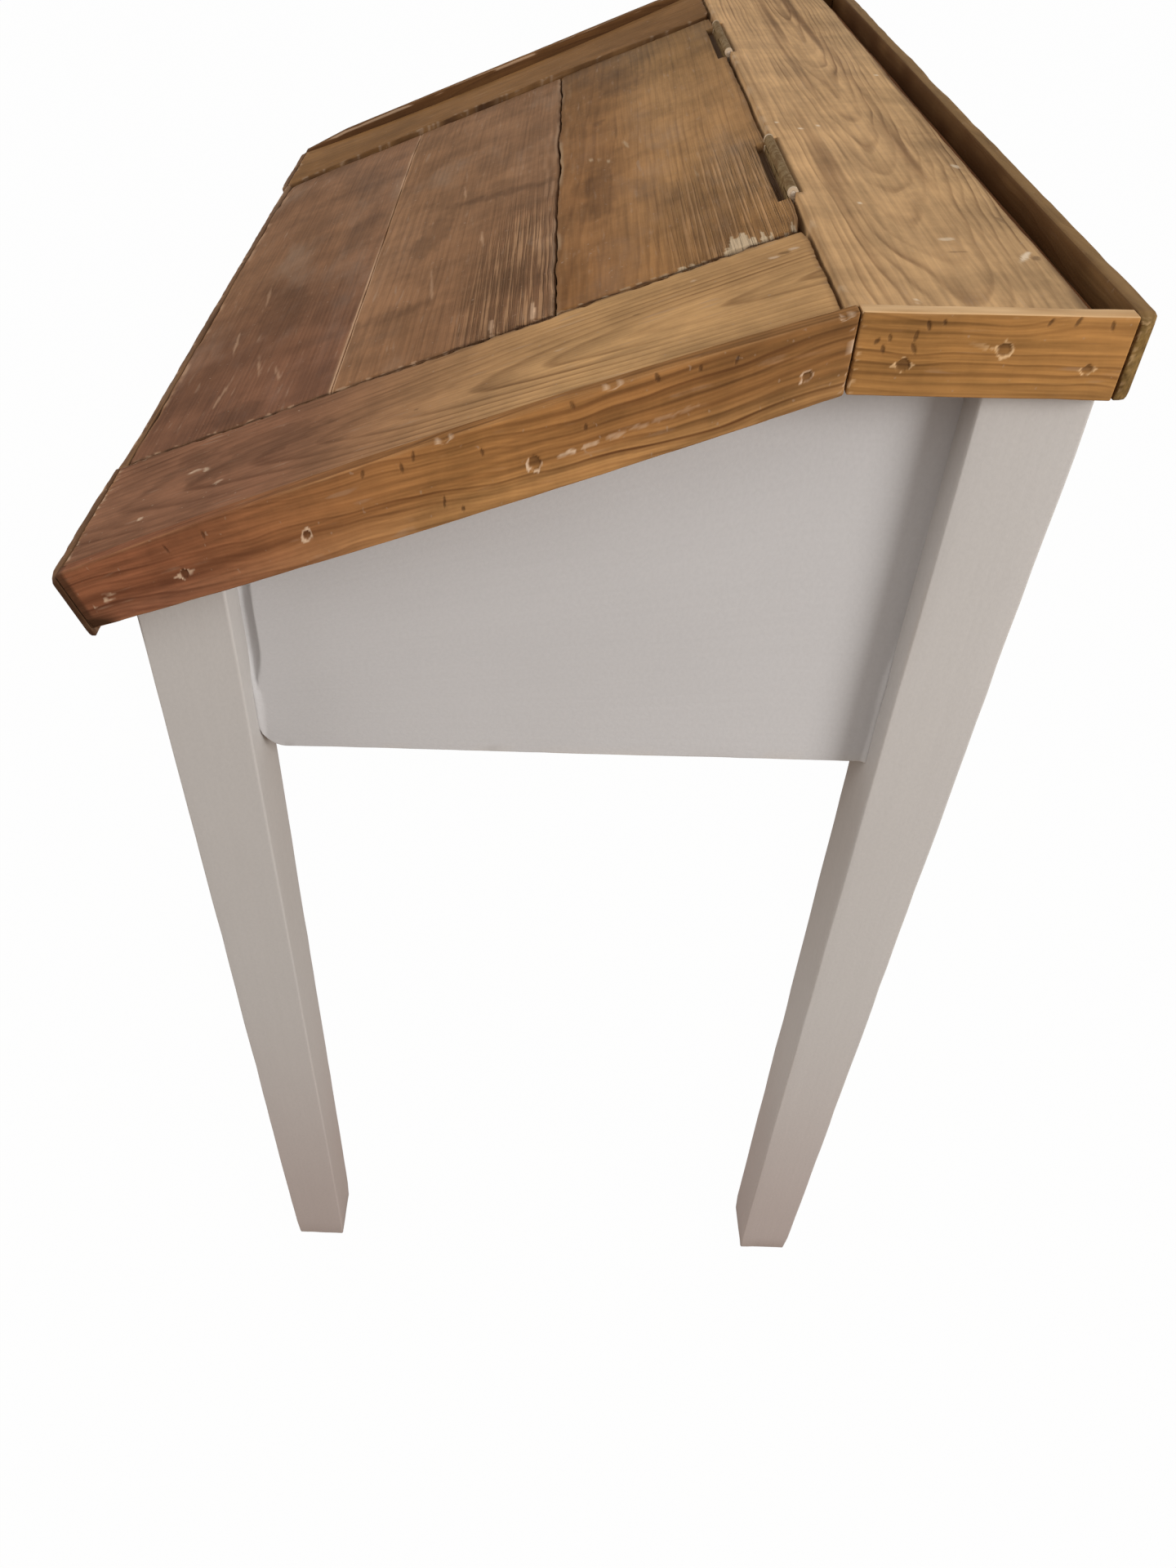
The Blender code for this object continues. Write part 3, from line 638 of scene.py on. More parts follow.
# Finishes of the base
# The legs darken and warm towards the floor: painted shade for lamp falloff and the floor's warm bounce.
LEG_PAINT = PaintFinish("leg_paint", (0.478, 0.459, 0.443), Grain.ALONG_Z, seed=1.0,
                        low_shade=Fade("Z", 0.42, 0.0, (0.89, 0.80, 0.78)))
PANEL_PAINT = PaintFinish("panel_paint", (0.515, 0.508, 0.512), Grain.ALONG_Y, seed=2.0)
BOARD_PAINT = PaintFinish("board_paint", (0.494, 0.480, 0.470), Grain.ALONG_X, seed=3.0)
RAW_PINE = WoodFinish("raw_pine", (0.46, 0.33, 0.20), (0.33, 0.20, 0.10), Grain.ALONG_X, pith=(0.10, 0.50),
                      seed=14.0)

# Finishes of the iron
HINGE_IRON = IronFinish("hinge_iron", (0.200, 0.130, 0.056), (0.134, 0.076, 0.029), (0.40, 0.62), 0.65, 0.0)
PIN_IRON = IronFinish("pin_iron", (0.55, 0.45, 0.35), (0.30, 0.20, 0.12), (0.5, 0.75), 0.5, 0.1)
NAIL_IRON = IronFinish("nail_iron", (0.12, 0.075, 0.045), (0.085, 0.04, 0.018), (0.35, 0.6), 0.6, 0.2)


def lumps(points: np.ndarray, size: Union[float, Sequence[float]], seed: int) -> np.ndarray:
    """Give smooth seeded noise at points.

    Args:
        points: Places in metres, one to a row.
        size: Size of the lumps in metres, for all axes or for each.
        seed: Which noise.

    Returns:
        A value from -1 to 1 for each point.
    """
    spots = points / np.asarray(size, float) + seed * SEED_SHIFT
    cells = np.floor(spots).astype(np.int64)
    share = spots - cells
    share = share * share * (3.0 - 2.0 * share)
    total = np.zeros(len(points))
    for corner in np.ndindex(2, 2, 2):
        mixed = (((cells + corner) * HASH_AXES).sum(axis=1) + seed * HASH_SEED) & HASH_BITS
        mixed = ((mixed ^ (mixed >> 13)) * HASH_MIX) & HASH_BITS
        value = ((mixed ^ (mixed >> 16)) & HASH_VALUE) / HASH_VALUE
        total += value * np.prod(np.where(corner, share, 1.0 - share), axis=1)
    return total * 2.0 - 1.0


def ramp(value: np.ndarray, slope: float) -> np.ndarray:
    """Give a value times a slope, held between 0 and 1."""
    return np.clip(value * slope, 0.0, 1.0)


def turned(x: np.ndarray, y: np.ndarray, turn: float) -> tuple[np.ndarray, np.ndarray]:
    """Give places along and across a mark that is turned."""
    cos, sin = math.cos(turn), math.sin(turn)
    return x * cos + y * sin, y * cos - x * sin


def cut_lines(low: float, high: float, step: float, rounding: float, extra: Sequence[float]) -> np.ndarray:
    """Set out the lines of a lattice along one axis, close at the rounded ends.

    Args:
        low: Where the piece starts.
        high: Where it ends.
        step: Distance between lines elsewhere.
        rounding: Radius at the ends.
        extra: More lines that the piece needs.

    Returns:
        The places of the lines, rising.
    """
    curve = [rounding * (1.0 - math.tan(math.radians(angle))) for angle in EDGE_ANGLES]
    start, end = low + rounding + EDGE_SUPPORT, high - rounding - EDGE_SUPPORT
    inner = np.linspace(start, end, max(2, round((end - start) / step) + 1))
    middle = np.unique(np.concatenate([inner, [line for line in extra if start < line < end]]))
    apart = np.concatenate([[True], np.diff(middle) > LEAST_GAP])
    first, last = [low + off for off in curve], [high - off for off in reversed(curve)]
    return np.concatenate([first, middle[apart], last])


def steps_at(*places: float, gap: float = 0.0003) -> list[float]:
    """Give a pair of close lines at each place, where a wall stands."""
    return [place + side * gap / 2 for place in places for side in (-1, 1)]


def close_lines(centre: float, reach: float, step: float) -> list[float]:
    """Give fine lines round a mark."""
    return list(np.arange(centre - reach, centre + reach + step / 2, step))


def end_lines(low: float, high: float, reach: float, step: float, start: float = 0.001) -> list[float]:
    """Give fine lines at both ends of a piece."""
    off = np.arange(start, reach, step)
    return [*(low + off), *(high - off)]


@dataclass
class Timber:
    """One piece of timber as a closed lattice of quads in its own frame.

    The lattice starts as a straight block, on which rounding, wear and marks are set out square, and a last
    bend takes it to its true outline.
    """

    name: str
    low: np.ndarray
    high: np.ndarray
    block: np.ndarray
    points: np.ndarray
    quads: np.ndarray
    masks: dict[Mask, np.ndarray] = field(default_factory=dict)
    shift: Triple = ORIGIN

    @classmethod
    def saw(cls, name: str, box: Box, steps: Triple, rounding: float,
            extra: Sequence[Sequence[float]] = ((), (), ())) -> "Timber":
        """Cut a block and round its edges.

        Args:
            name: The CAD node that it stands for.
            box: Its lowest and highest corners.
            steps: Distance between the lattice's lines on each axis.
            rounding: Radius of its edges.
            extra: More lines on each axis.

        Returns:
            The piece.
        """
        low, high = (np.array(corner, float) for corner in box)
        lines = [cut_lines(low[i], high[i], steps[i], rounding, extra[i]) for i in range(3)]
        shape = tuple(len(line) for line in lines)
        shell = np.zeros(shape, bool)
        for axis in range(3):
            for end in (0, -1):
                cut = [slice(None)] * 3
                cut[axis] = end
                shell[tuple(cut)] = True
        number = np.full(shape, -1)
        number[shell] = np.arange(shell.sum())
        block = np.stack(np.meshgrid(*lines, indexing="ij"), -1)[shell]
        quads = []
        for axis, end, flip in ((2, -1, False), (2, 0, True), (0, -1, False), (0, 0, True), (1, -1, True),
                                (1, 0, False)):
            face = np.take(number, end, axis=axis)
            quad = np.stack([face[:-1, :-1], face[1:, :-1], face[1:, 1:], face[:-1, 1:]], -1).reshape(-1, 4)
            quads.append(quad[:, ::-1] if flip else quad)
        core = np.clip(block, low + rounding, high - rounding)
        off = block - core
        length = np.maximum(np.linalg.norm(off, axis=1, keepdims=True), TINY)
        piece = cls(name, low, high, block, core + off * rounding / length, np.concatenate(quads))
        piece.masks = {mask: np.zeros(len(block)) for mask in Mask}
        return piece

    def gap(self, face: Face) -> np.ndarray:
        """Give each point's distance from one face of the block."""
        axis, sign = face.value
        return np.abs(self.block[:, axis] - (self.high if sign > 0 else self.low)[axis])

    def on(self, face: Face) -> np.ndarray:
        """Give 1 on one face of the block and 0 elsewhere."""
        return (self.gap(face) < ON_FACE).astype(float)

    def nearness(self, face: Face, reach: float) -> np.ndarray:
        """Give 1 on one face of the block, falling to 0 at a reach from it."""
        return np.clip(1.0 - self.gap(face) / reach, 0.0, 1.0)

    def share(self, axis: int) -> np.ndarray:
        """Give how far along one axis each point lies, from 0 to 1."""
        return (self.block[:, axis] - self.low[axis]) / (self.high[axis] - self.low[axis])

    def along(self, axis: int) -> np.ndarray:
        """Give the block's points with one axis kept, for noise that changes along it alone."""
        return self.block * np.eye(3)[axis]

    def sink(self, face: Face, depth: np.ndarray) -> "Timber":
        """Press points in from a face, or raise them where the depth is negative.

        Args:
            face: The face.
            depth: How far each point goes in, in metres.

        Returns:
            The piece.
        """
        axis, sign = face.value
        self.points[:, axis] -= sign * depth
        return self

    def sway(self, axis: int, amount: float, lump: Union[float, Sequence[float]], seed: int) -> "Timber":
        """Let the whole piece wander a little along one axis."""
        self.points[:, axis] += amount * lumps(self.block, lump, seed)
        return self

    def tone(self, mask: Mask, share: np.ndarray) -> "Timber":
        """Raise one of the masks."""
        self.masks[mask] = np.maximum(self.masks[mask], np.clip(share, 0.0, 1.0))
        return self

    def wear(self, amount: float, lump: float, seed: int, reach: float = 0.004) -> "Timber":
        """Rub all the edges unevenly.

        Args:
            amount: How much goes at most, in metres.
            lump: Length of a worn stretch.
            seed: Which noise.
            reach: How far from an edge the rubbing goes.

        Returns:
            The piece.
        """
        core = np.clip(self.block, self.low + reach, self.high - reach)
        off = (self.block - core) / reach
        share = np.sort(np.abs(off), axis=1)[:, 1]
        inward = -off / np.maximum(np.linalg.norm(off, axis=1, keepdims=True), TINY)
        rough = lumps(self.block, lump, seed) * 0.5 + lumps(self.block, lump / 4, seed + 1) * 0.3 + 0.5
        rough = np.clip(rough, 0.0, 1.0)
        self.points = self.points + inward * (amount * share * rough ** 2)[:, None]
        return self.tone(Mask.EDGE, share ** 2 * rough)

    def bite(self, first: Face, second: Face, amount: float, lump: float, seed: int, reach: float,
             chips: float = 0.0, dirt: float = 0.0) -> "Timber":
        """Break away one edge unevenly, where two faces meet.

        Args:
            first: The face that steps back most.
            second: The other face.
            amount: How much goes at most, in metres.
            lump: Length of a broken stretch.
            seed: Which noise.
            reach: How far from the edge the break goes.
            chips: How much of the break shows pale wood, from 0 to 1.
            dirt: How dark it is with dirt, from 0 to 1.

        Returns:
            The piece.
        """
        share = self.nearness(first, reach) * self.nearness(second, reach)
        near = np.sqrt(share)
        rough = lumps(self.block, lump, seed) * 0.55 + lumps(self.block, lump / 3, seed + 1) * 0.35
        rough = np.clip(rough + 0.35, 0.0, 1.2)
        depth = amount * near * rough
        self.sink(first, depth).sink(second, depth * 0.7)
        fine = lumps(self.block, lump / 5, seed + 2)
        self.tone(Mask.PALE, chips * near * ramp(fine - 0.15, 4.0) * (rough > 0.3))
        return self.tone(Mask.DARK, dirt * share)

    def chip(self, centre: Triple, reach: Triple, depth: float, away: Triple, pale: float) -> "Timber":
        """Knock one chip out of the piece.

        Args:
            centre: Middle of the chip.
            reach: Its half sizes.
            depth: How deep it goes, in metres.
            away: The way that the wood is pushed in.
            pale: How pale its bare wood is.

        Returns:
            The piece.
        """
        far = (((self.block - np.array(centre)) / np.array(reach)) ** 2).sum(axis=1)
        share = np.clip(1.0 - far + 0.35 * lumps(self.block, min(reach), 31), 0.0, 1.0)
        self.points = self.points + np.array(away) * (depth * np.sqrt(share))[:, None]
        return self.tone(Mask.PALE, pale * ramp(share, 6.0) * ramp(0.6 - share, 4.0))

    def piece(self, finish: bpy.types.Material, slot: Slot, body: Body, place: Matrix = WORLD,
              mirrored: bool = False) -> bpy.types.Object:
        """Turn the lattice into an object that stands for its CAD node.

        Args:
            finish: Its material.
            slot: The record's slot for its finish; not used.
            body: What it rides on.
            place: Its frame.
            mirrored: Whether a bend has turned it inside out.

        Returns:
            The object.
        """
        mesh = bpy.data.meshes.new(f"{self.name}_worn")
        quads = self.quads[:, ::-1] if mirrored else self.quads
        frame_matrix = np.array(place)
        points = self.points @ frame_matrix[:3, :3].T + frame_matrix[:3, 3]
        mesh.from_pydata(points.tolist(), [], quads.tolist())
        mesh.polygons.foreach_set("use_smooth", np.ones(len(quads), bool))
        for mask, values in self.masks.items():
            layer = mesh.attributes.new(mask.value, "FLOAT", "POINT")
            layer.data.foreach_set("value", values.astype(np.float32))
        own = (self.block + np.array(self.shift)).astype(np.float32)
        mesh.attributes.new("own", "FLOAT_VECTOR", "POINT").data.foreach_set("vector", own.ravel())
        mesh.materials.append(finish)
        mesh.update()
        made = bpy.data.objects.new(f"{self.name}_worn", mesh)
        bpy.context.scene.collection.objects.link(made)
        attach(made, body.value)
        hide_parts(self.name)
        LOG.info("%s: %d quads", made.name, len(quads))
        return made


def node_box(node: str, place: Matrix = WORLD) -> Box:
    """Give the box of a CAD node in a frame.

    Args:
        node: The node's name.
        place: The frame.

    Returns:
        Its lowest and highest corners.
    """
    inverse = place.inverted()
    corners = np.array([inverse @ vertex.co for vertex in frame["nodes"][node].data.vertices])
    return corners.min(axis=0), corners.max(axis=0)


class Ring(Enum):
    """What is left of the filler round a nail."""

    ROUND = "round"
    SIDES = "sides"
    CUP = "cup"
    SPLINTERS = "splinters"


@dataclass(frozen=True)
class NailMark:
    """A sunk nail: half width of its hole, the filler round it, how far that goes, its turn and tail."""

    hole: float = 0.0026
    ring: Ring = Ring.ROUND
    reach: float = 1.5
    turn: float = 0.0
    tail: float = 0.0


def mark_nail(timber: Timber, sign: int, spot: Pair, mark: NailMark, seed: int) -> None:
    """Sink a nail into the outer face of a side moulding, with pale filler round it.

    Args:
        timber: The moulding.
        sign: Which way its outer face looks along X.
        spot: The nail's place along Y and Z.
        mark: How the filler looks.
        seed: Which noise.
    """
    outer = timber.on(Face.end(sign))
    y, z = timber.block[:, 1] - spot[0], timber.block[:, 2] - spot[1]
    u, v = turned(y, z, mark.turn)
    rag = lumps(timber.block, 0.0017, seed)
    far = np.hypot(u, v * 1.15) / (mark.hole * (1.0 + 0.18 * rag))
    long = mark.hole * mark.reach
    outside = ramp(far - 1.0, 8.0)
    hole = ramp(1.1 - far, 8.0)
    if mark.ring is Ring.SPLINTERS:
        dash = lumps(timber.block, (0.01, 0.0045, 0.0013), seed)
        ring = ramp(dash - 0.2, 4.0) * (np.abs(u) < long) * (np.abs(v) < 0.0032)
        hole = hole * 0.24
    elif mark.ring is Ring.SIDES:
        tall = mark.hole * (1.0 - np.abs(u) / long) * (1.1 + 0.8 * rag)
        ring = outside * ramp(tall - np.abs(v), 3000.0)
    else:
        ring = outside * ramp(mark.reach - far + 0.4 * rag, 6.0)
        if mark.ring is Ring.CUP:
            ring = ring * ramp(0.5 * mark.hole - v, 1500.0)
    for number in range(TAIL_DASHES if mark.tail else 0):
        off = y - mark.tail * (0.38 + 0.30 * number)
        line = 1.0 - np.hypot(off / (0.12 * mark.tail), (z - 0.0005 * number + 0.0004) / 0.0010) + 0.5 * rag
        ring = np.maximum(ring, np.clip(line * 3.0, 0.0, 0.95 * 0.72 ** number))
    timber.tone(Mask.PALE, outer * ring * (0.70 + 0.25 * rag))
    timber.tone(Mask.DARK, outer * hole * np.clip(0.42 + 90.0 * v, 0.25, 0.75))
    timber.sink(Face.end(sign), outer * hole * NAIL_DEPTH)


def mark_ticks(timber: Timber, sign: int, spots: Sequence[Pair], seed: int) -> None:
    """Cut short brown ticks across the grain of a side moulding.

    Args:
        timber: The moulding.
        sign: Which way its outer face looks along X.
        spots: Places of the ticks along Y and Z.
        seed: Which lengths they have.
    """
    draw = np.random.default_rng(seed)
    outer = timber.on(Face.end(sign))
    for y, z in spots:
        tall, wide, lean = draw.uniform(0.0010, 0.0022), draw.uniform(0.0006, 0.0010), draw.uniform(-0.5, 0.5)
        v = timber.block[:, 2] - z
        u = timber.block[:, 1] - y - v * lean
        cut = outer * ramp(1.3 - np.hypot(u / wide, v / tall), 2.5)
        timber.tone(Mask.DARK, cut * draw.uniform(0.45, 0.7))
        timber.sink(Face.end(sign), cut * TICK_DEPTH)


def spots_on(box: Box, places: Sequence[Pair]) -> list[Pair]:
    """Give places on the side of a moulding.

    Args:
        box: The moulding's lowest and highest corners.
        places: Shares of its length, with millimetres below its top.

    Returns:
        The places along Y and Z.
    """
    low, high = box
    length = high[1] - low[1]
    return [(low[1] + share * length, high[2] - drop / MILLIMETRES) for share, drop in places]


def saw_moulding(node: str, box: Box, sign: int, nails: Sequence[Pair], marks: Sequence[NailMark],
                 ticks: Sequence[Pair], rounding: float, reach: float, seeds: tuple[int, int, int]) -> Timber:
    """Cut a side moulding, mark nails and ticks on its outer face, and rub its edges.

    Args:
        node: The moulding's CAD node.
        box: Its lowest and highest corners.
        sign: Which way its outer face looks along X.
        nails: Places of the nails along Y and Z.
        marks: How the filler round each nail looks.
        ticks: Places of the ticks along Y and Z.
        rounding: Radius of its edges.
        reach: How far the fine lattice goes from a nail.
        seeds: Which noise the nails, the ticks and the rubbing have.

    Returns:
        The moulding.
    """
    fine = [line for spot in nails for line in close_lines(spot[0], reach, NAIL_STEP)]
    fine += [line for spot in ticks for line in close_lines(spot[0], TICK_REACH, TICK_STEP)]
    strip = Timber.saw(node, box, MOULDING_STEPS, rounding, ((), fine, ()))
    for number, (spot, mark) in enumerate(zip(nails, marks)):
        mark_nail(strip, sign, spot, mark, seeds[0] + number)
    mark_ticks(strip, sign, ticks, seeds[1] + sign)
    return strip.wear(0.0005, lump=0.03, seed=seeds[2] + sign, reach=0.002)


@dataclass(frozen=True)
class Blot:
    """A mark on a board's top: its place, half sizes, turn, mask, strength, and how hollow it is."""

    spot: Pair
    size: Pair
    turn: float = 0.0
    mask: Mask = Mask.PALE
    strength: float = 0.7
    hollow: float = 0.0


def blot_lines(blots: Sequence[Blot], axis: int, step: float = 0.0011, widest: float = 0.0040) -> list[float]:
    """Give lattice lines round marks along one axis, as close as each mark needs.

    Args:
        blots: The marks.
        axis: Which axis of the top face, 0 or 1.
        step: Least distance between lines.
        widest: Greatest distance between the lines of one mark.

    Returns:
        The places of the lines, rising.
    """
    lines = []
    for blot in blots:
        cos, sin = abs(math.cos(blot.turn)), abs(math.sin(blot.turn))
        long, wide = blot.size[axis], blot.size[1 - axis]
        chord = 1.0 / math.hypot(cos / long, sin / wide)
        reach = 1.2 * (cos * long + sin * wide)
        lines += close_lines(blot.spot[axis], reach, min(max(0.6 * chord, step), widest))
    kept = []
    for line in sorted(lines):
        if not kept or line - kept[-1] > 0.8 * step:
            kept.append(line)
    return kept


def mark_top(timber: Timber, blots: Sequence[Blot], seed: int) -> None:
    """Mark the top face of a board.

    Args:
        timber: The board.
        blots: The marks.
        seed: Which noise.
    """
    top = timber.on(Face.TOP)
    rag = lumps(timber.block, 0.0035, seed)
    for blot in blots:
        u, v = turned(timber.block[:, 0] - blot.spot[0], timber.block[:, 1] - blot.spot[1], blot.turn)
        far = np.hypot(u / blot.size[0], v / blot.size[1])
        share = ramp(1.0 - far + 0.3 * rag, 3.0)
        if blot.hollow:
            share = share * ramp(far - blot.hollow, 6.0) * (v > -0.2 * blot.size[1])
        timber.tone(blot.mask, top * share * blot.strength)


@dataclass(frozen=True)
class Mortise:
    """Recesses for hinge leaves in one long edge of a board."""

    edge: Face
    floor: float
    reach: float
    dirt: float
    slack: float = 0.0003
    spare: float = 0.0004
    seat: float = 0.0013

    def end_walls(self, leaves: Sequence[Box]) -> list[float]:
        """Give the lattice lines along X at the recesses' ends."""
        return [x for low, high in leaves for x in steps_at(low[0] - self.slack, high[0] + self.slack)]

    def long_wall(self, box: Box) -> list[float]:
        """Give the lattice lines along Y at the recesses' inner wall."""
        low, high = box
        return steps_at(high[1] - self.reach if self.edge is Face.BACK else low[1] + self.reach)

    def cut(self, board: Timber, leaves: Sequence[Box]) -> None:
        """Sink the recesses into a board.

        Args:
            board: The board.
            leaves: Boxes of the leaves that it holds.
        """
        x = board.block[:, 0]
        for low, high in leaves:
            within = (x > low[0] - self.spare) & (x < high[0] + self.spare)
            deep = within & (board.gap(self.edge) < self.reach) & (board.points[:, 2] > self.floor)
            board.points[deep, 2] = self.floor
            board.sink(self.edge, self.seat * within * board.on(self.edge))
            board.tone(Mask.DARK, self.dirt * deep)


@dataclass
class Lid:
    """The sloping lid: three boards between two cleats, with mouldings at its ends and lipping in front.

    Pairs of values are for the left end and the right end, which is the near one.
    """

    slope: float = LID_SLOPE
    axis: Triple = tuple(frame["joints"][0]["pos_m"])
    seam: float = 0.0006
    crown: float = 0.0045
    belly: float = 0.0025
    far_lift: float = 0.0035
    far_sink: float = 0.0040
    far_step: float = 0.0020
    ragged_ends: Triple = (0.0010, 0.0022, 0.0024)
    end_notch: Pair = (0.0060, 0.0026)
    end_dirt: Pair = (0.6, 0.9)
    mortise: Mortise = Mortise(Face.BACK, floor=-0.0052, reach=0.0068, dirt=0.75)
    nail_shares: tuple[float, ...] = (0.044, 0.163, 0.337, 0.636, 0.953)
    nail_radius: float = 0.0013
    nail_marks: tuple[tuple[NailMark, ...], ...] = (
        (NailMark(),
         NailMark(0.0024, Ring.SIDES, 2.6, 0.4),
         NailMark(0.0022, Ring.CUP, 1.5),
         NailMark(0.0026, Ring.SPLINTERS, 3.0, 0.1),
         NailMark(0.0027, Ring.ROUND, 1.4)),
        (NailMark(0.0022, Ring.SPLINTERS, 4.0),
         NailMark(0.0024, Ring.SIDES, 2.9, 0.05),
         NailMark(0.0020, Ring.ROUND, 1.7, 0.6),
         NailMark(0.0030, Ring.CUP, 1.4, -0.5, 0.040),
         NailMark(0.0022, Ring.ROUND, 1.35)),
    )
    ticks: tuple[tuple[Pair, ...], ...] = (
        ((0.12, 9.0), (0.26, 5.0), (0.47, 24.0), (0.55, 7.0), (0.71, 4.0), (0.86, 6.0)),
        ((0.157, 6.6), (0.211, 6.1), (0.43, 3.5), (0.478, 6.0), (0.495, 3.0), (0.518, 24.8), (0.539, 30.0),
         (0.576, 10.0), (0.687, 3.0), (0.784, 2.5), (0.832, 4.0), (0.872, 5.0), (0.70, 13.0)),
    )
    top_chips: tuple[Triple, ...] = ((0.535, 0.0045, 0.0016), (0.735, 0.0048, 0.0010), (0.985, 0.003, 0.0014))
    board_blots: tuple[tuple[Blot, ...], ...] = (
        (Blot((0.10, -0.330), (0.055, 0.022), 0.1, Mask.DARK, 0.30),
         Blot((-0.03, -0.290), (0.060, 0.012), -0.1, Mask.DARK, 0.25),
         Blot((0.182, -0.290), (0.010, 0.028), -0.1, Mask.DARK, 0.25),
         Blot((0.26, -0.330), (0.022, 0.020), 0.2, Mask.DARK, 0.3),
         Blot((-0.15, -0.320), (0.012, 0.060), 0.0, Mask.DARK, 0.2),
         Blot((0.05, -0.352), (0.026, 0.0014), 0.1, strength=0.22),
         Blot((0.13, -0.360), (0.024, 0.0012), 0.1, strength=0.3),
         Blot((0.19, -0.330), (0.018, 0.0010), 0.2, strength=0.3),
         Blot((0.215, -0.312), (0.014, 0.0010), 0.3, strength=0.3),
         Blot((0.22, -0.350), (0.020, 0.0012), -0.1, strength=0.3)),
        (Blot((0.018, -0.172), (0.008, 0.050), -0.34, Mask.DARK, 0.4),
         Blot((0.06, -0.225), (0.045, 0.016), -0.2, Mask.DARK, 0.3),
         Blot((0.187, -0.238), (0.009, 0.034), -0.1, Mask.DARK, 0.3),
         Blot((-0.02, -0.205), (0.018, 0.0010), 0.1, strength=0.3),
         Blot((0.10, -0.185), (0.016, 0.0012), 0.1, strength=0.35),
         Blot((0.16, -0.215), (0.030, 0.0012), 0.1, strength=0.25),
         Blot((0.262, -0.146), (0.0150, 0.0013), 0.02, strength=0.9),
         Blot((0.265, -0.170), (0.0120, 0.0016), 0.05, strength=0.5)),
        (Blot((-0.17, -0.085), (0.050, 0.022), 0.1, Mask.DARK, 0.28),
         Blot((0.10, -0.105), (0.060, 0.012), 0.0, Mask.DARK, 0.28),
         Blot((-0.07, -0.103), (0.006, 0.0060), 0.5, Mask.DARK, 0.4),
         Blot((0.14, -0.070), (0.050, 0.012), 0.1, Mask.DARK, 0.15),
         Blot((0.02, -0.108), (0.006, 0.0015), 0.8, strength=0.5),
         Blot((0.035, -0.098), (0.005, 0.0014), 0.2, strength=0.5),
         Blot((0.01, -0.085), (0.012, 0.0012), 0.1, strength=0.35),
         Blot((0.13, -0.045), (0.010, 0.0010), 0.1, strength=0.25)),
    )
    cleat_blots: tuple[tuple[Blot, ...], ...] = (
        (),
        (Blot((0.328, -0.337), (0.0080, 0.0045), 1.25, strength=1.0, hollow=0.45),
         Blot((0.3035, -0.020), (0.0016, 0.0036), -0.5),
         Blot((0.3008, -0.010), (0.0018, 0.0032), -0.5),
         Blot((0.365, -0.362), (0.0020, 0.0020)),
         Blot((0.352, -0.318), (0.0016, 0.0030), 0.4, strength=0.5),
         Blot((0.298, -0.060), (0.0016, 0.0016), strength=0.5),
         Blot((0.331, -0.130), (0.0012, 0.0030), strength=0.4),
         Blot((0.3022, -0.015), (0.0020, 0.0040), -0.5, Mask.DARK, 0.5),
         Blot((0.347, -0.205), (0.0014, 0.0022), 0.5, Mask.DARK, 0.4),
         Blot((0.318, -0.090), (0.001, 0.002), 0.0, Mask.DARK, 0.5),
         Blot((0.307, -0.345), (0.018, 0.010), 0.5, Mask.DARK, 0.25),
         Blot((0.330, -0.300), (0.014, 0.050), 0.2, Mask.DARK, 0.34),
         Blot((0.312, -0.300), (0.010, 0.034), 0.1, Mask.DARK, 0.30),
         Blot((0.318, -0.352), (0.006, 0.026), 0.5, Mask.DARK, 0.28)),
    )
    place: Matrix = field(init=False)

    def __post_init__(self) -> None:
        """Set up the lid's own frame on the hinge axis: Y up the slope, Z square to the lid."""
        self.place = Matrix.Translation(self.axis) @ Matrix.Rotation(self.slope, 4, "X")

    def build(self) -> None:
        """Build and dress all the lid's pieces."""
        self.build_boards([finish.material() for finish in (LID_FRONT_PINE, LID_MIDDLE_PINE, LID_REAR_PINE)])
        self.build_cleats([finish.material() for finish in (FAR_CLEAT_PINE, NEAR_CLEAT_PINE)])
        self.build_mouldings([finish.material() for finish in (FAR_SLOPE_PINE, NEAR_SLOPE_PINE)])
        self.build_lipping(LIPPING_PINE.material())

    def underside(self, y: np.ndarray) -> np.ndarray:
        """Give the height of the closed lid's underside across the desk."""
        under = node_box("lid_right_cleat", self.place)[0][2]
        return self.axis[2] + (y - self.axis[1]) * math.tan(self.slope) + under / math.cos(self.slope)

    def plumb(self, timber: Timber) -> None:
        """Cut a piece's rear end plumb, as it stands on the closed desk."""
        timber.points[:, 1] += timber.share(1) * (timber.block[:, 2] - timber.high[2]) * math.tan(self.slope)

    def rise(self, timber: Timber) -> np.ndarray:
        """Give how far along a piece of the lid's end its bow has come, from 0 at the ends to 1."""
        share = timber.share(1)
        return ramp(share * (1.0 - share), 4.0) ** 0.9

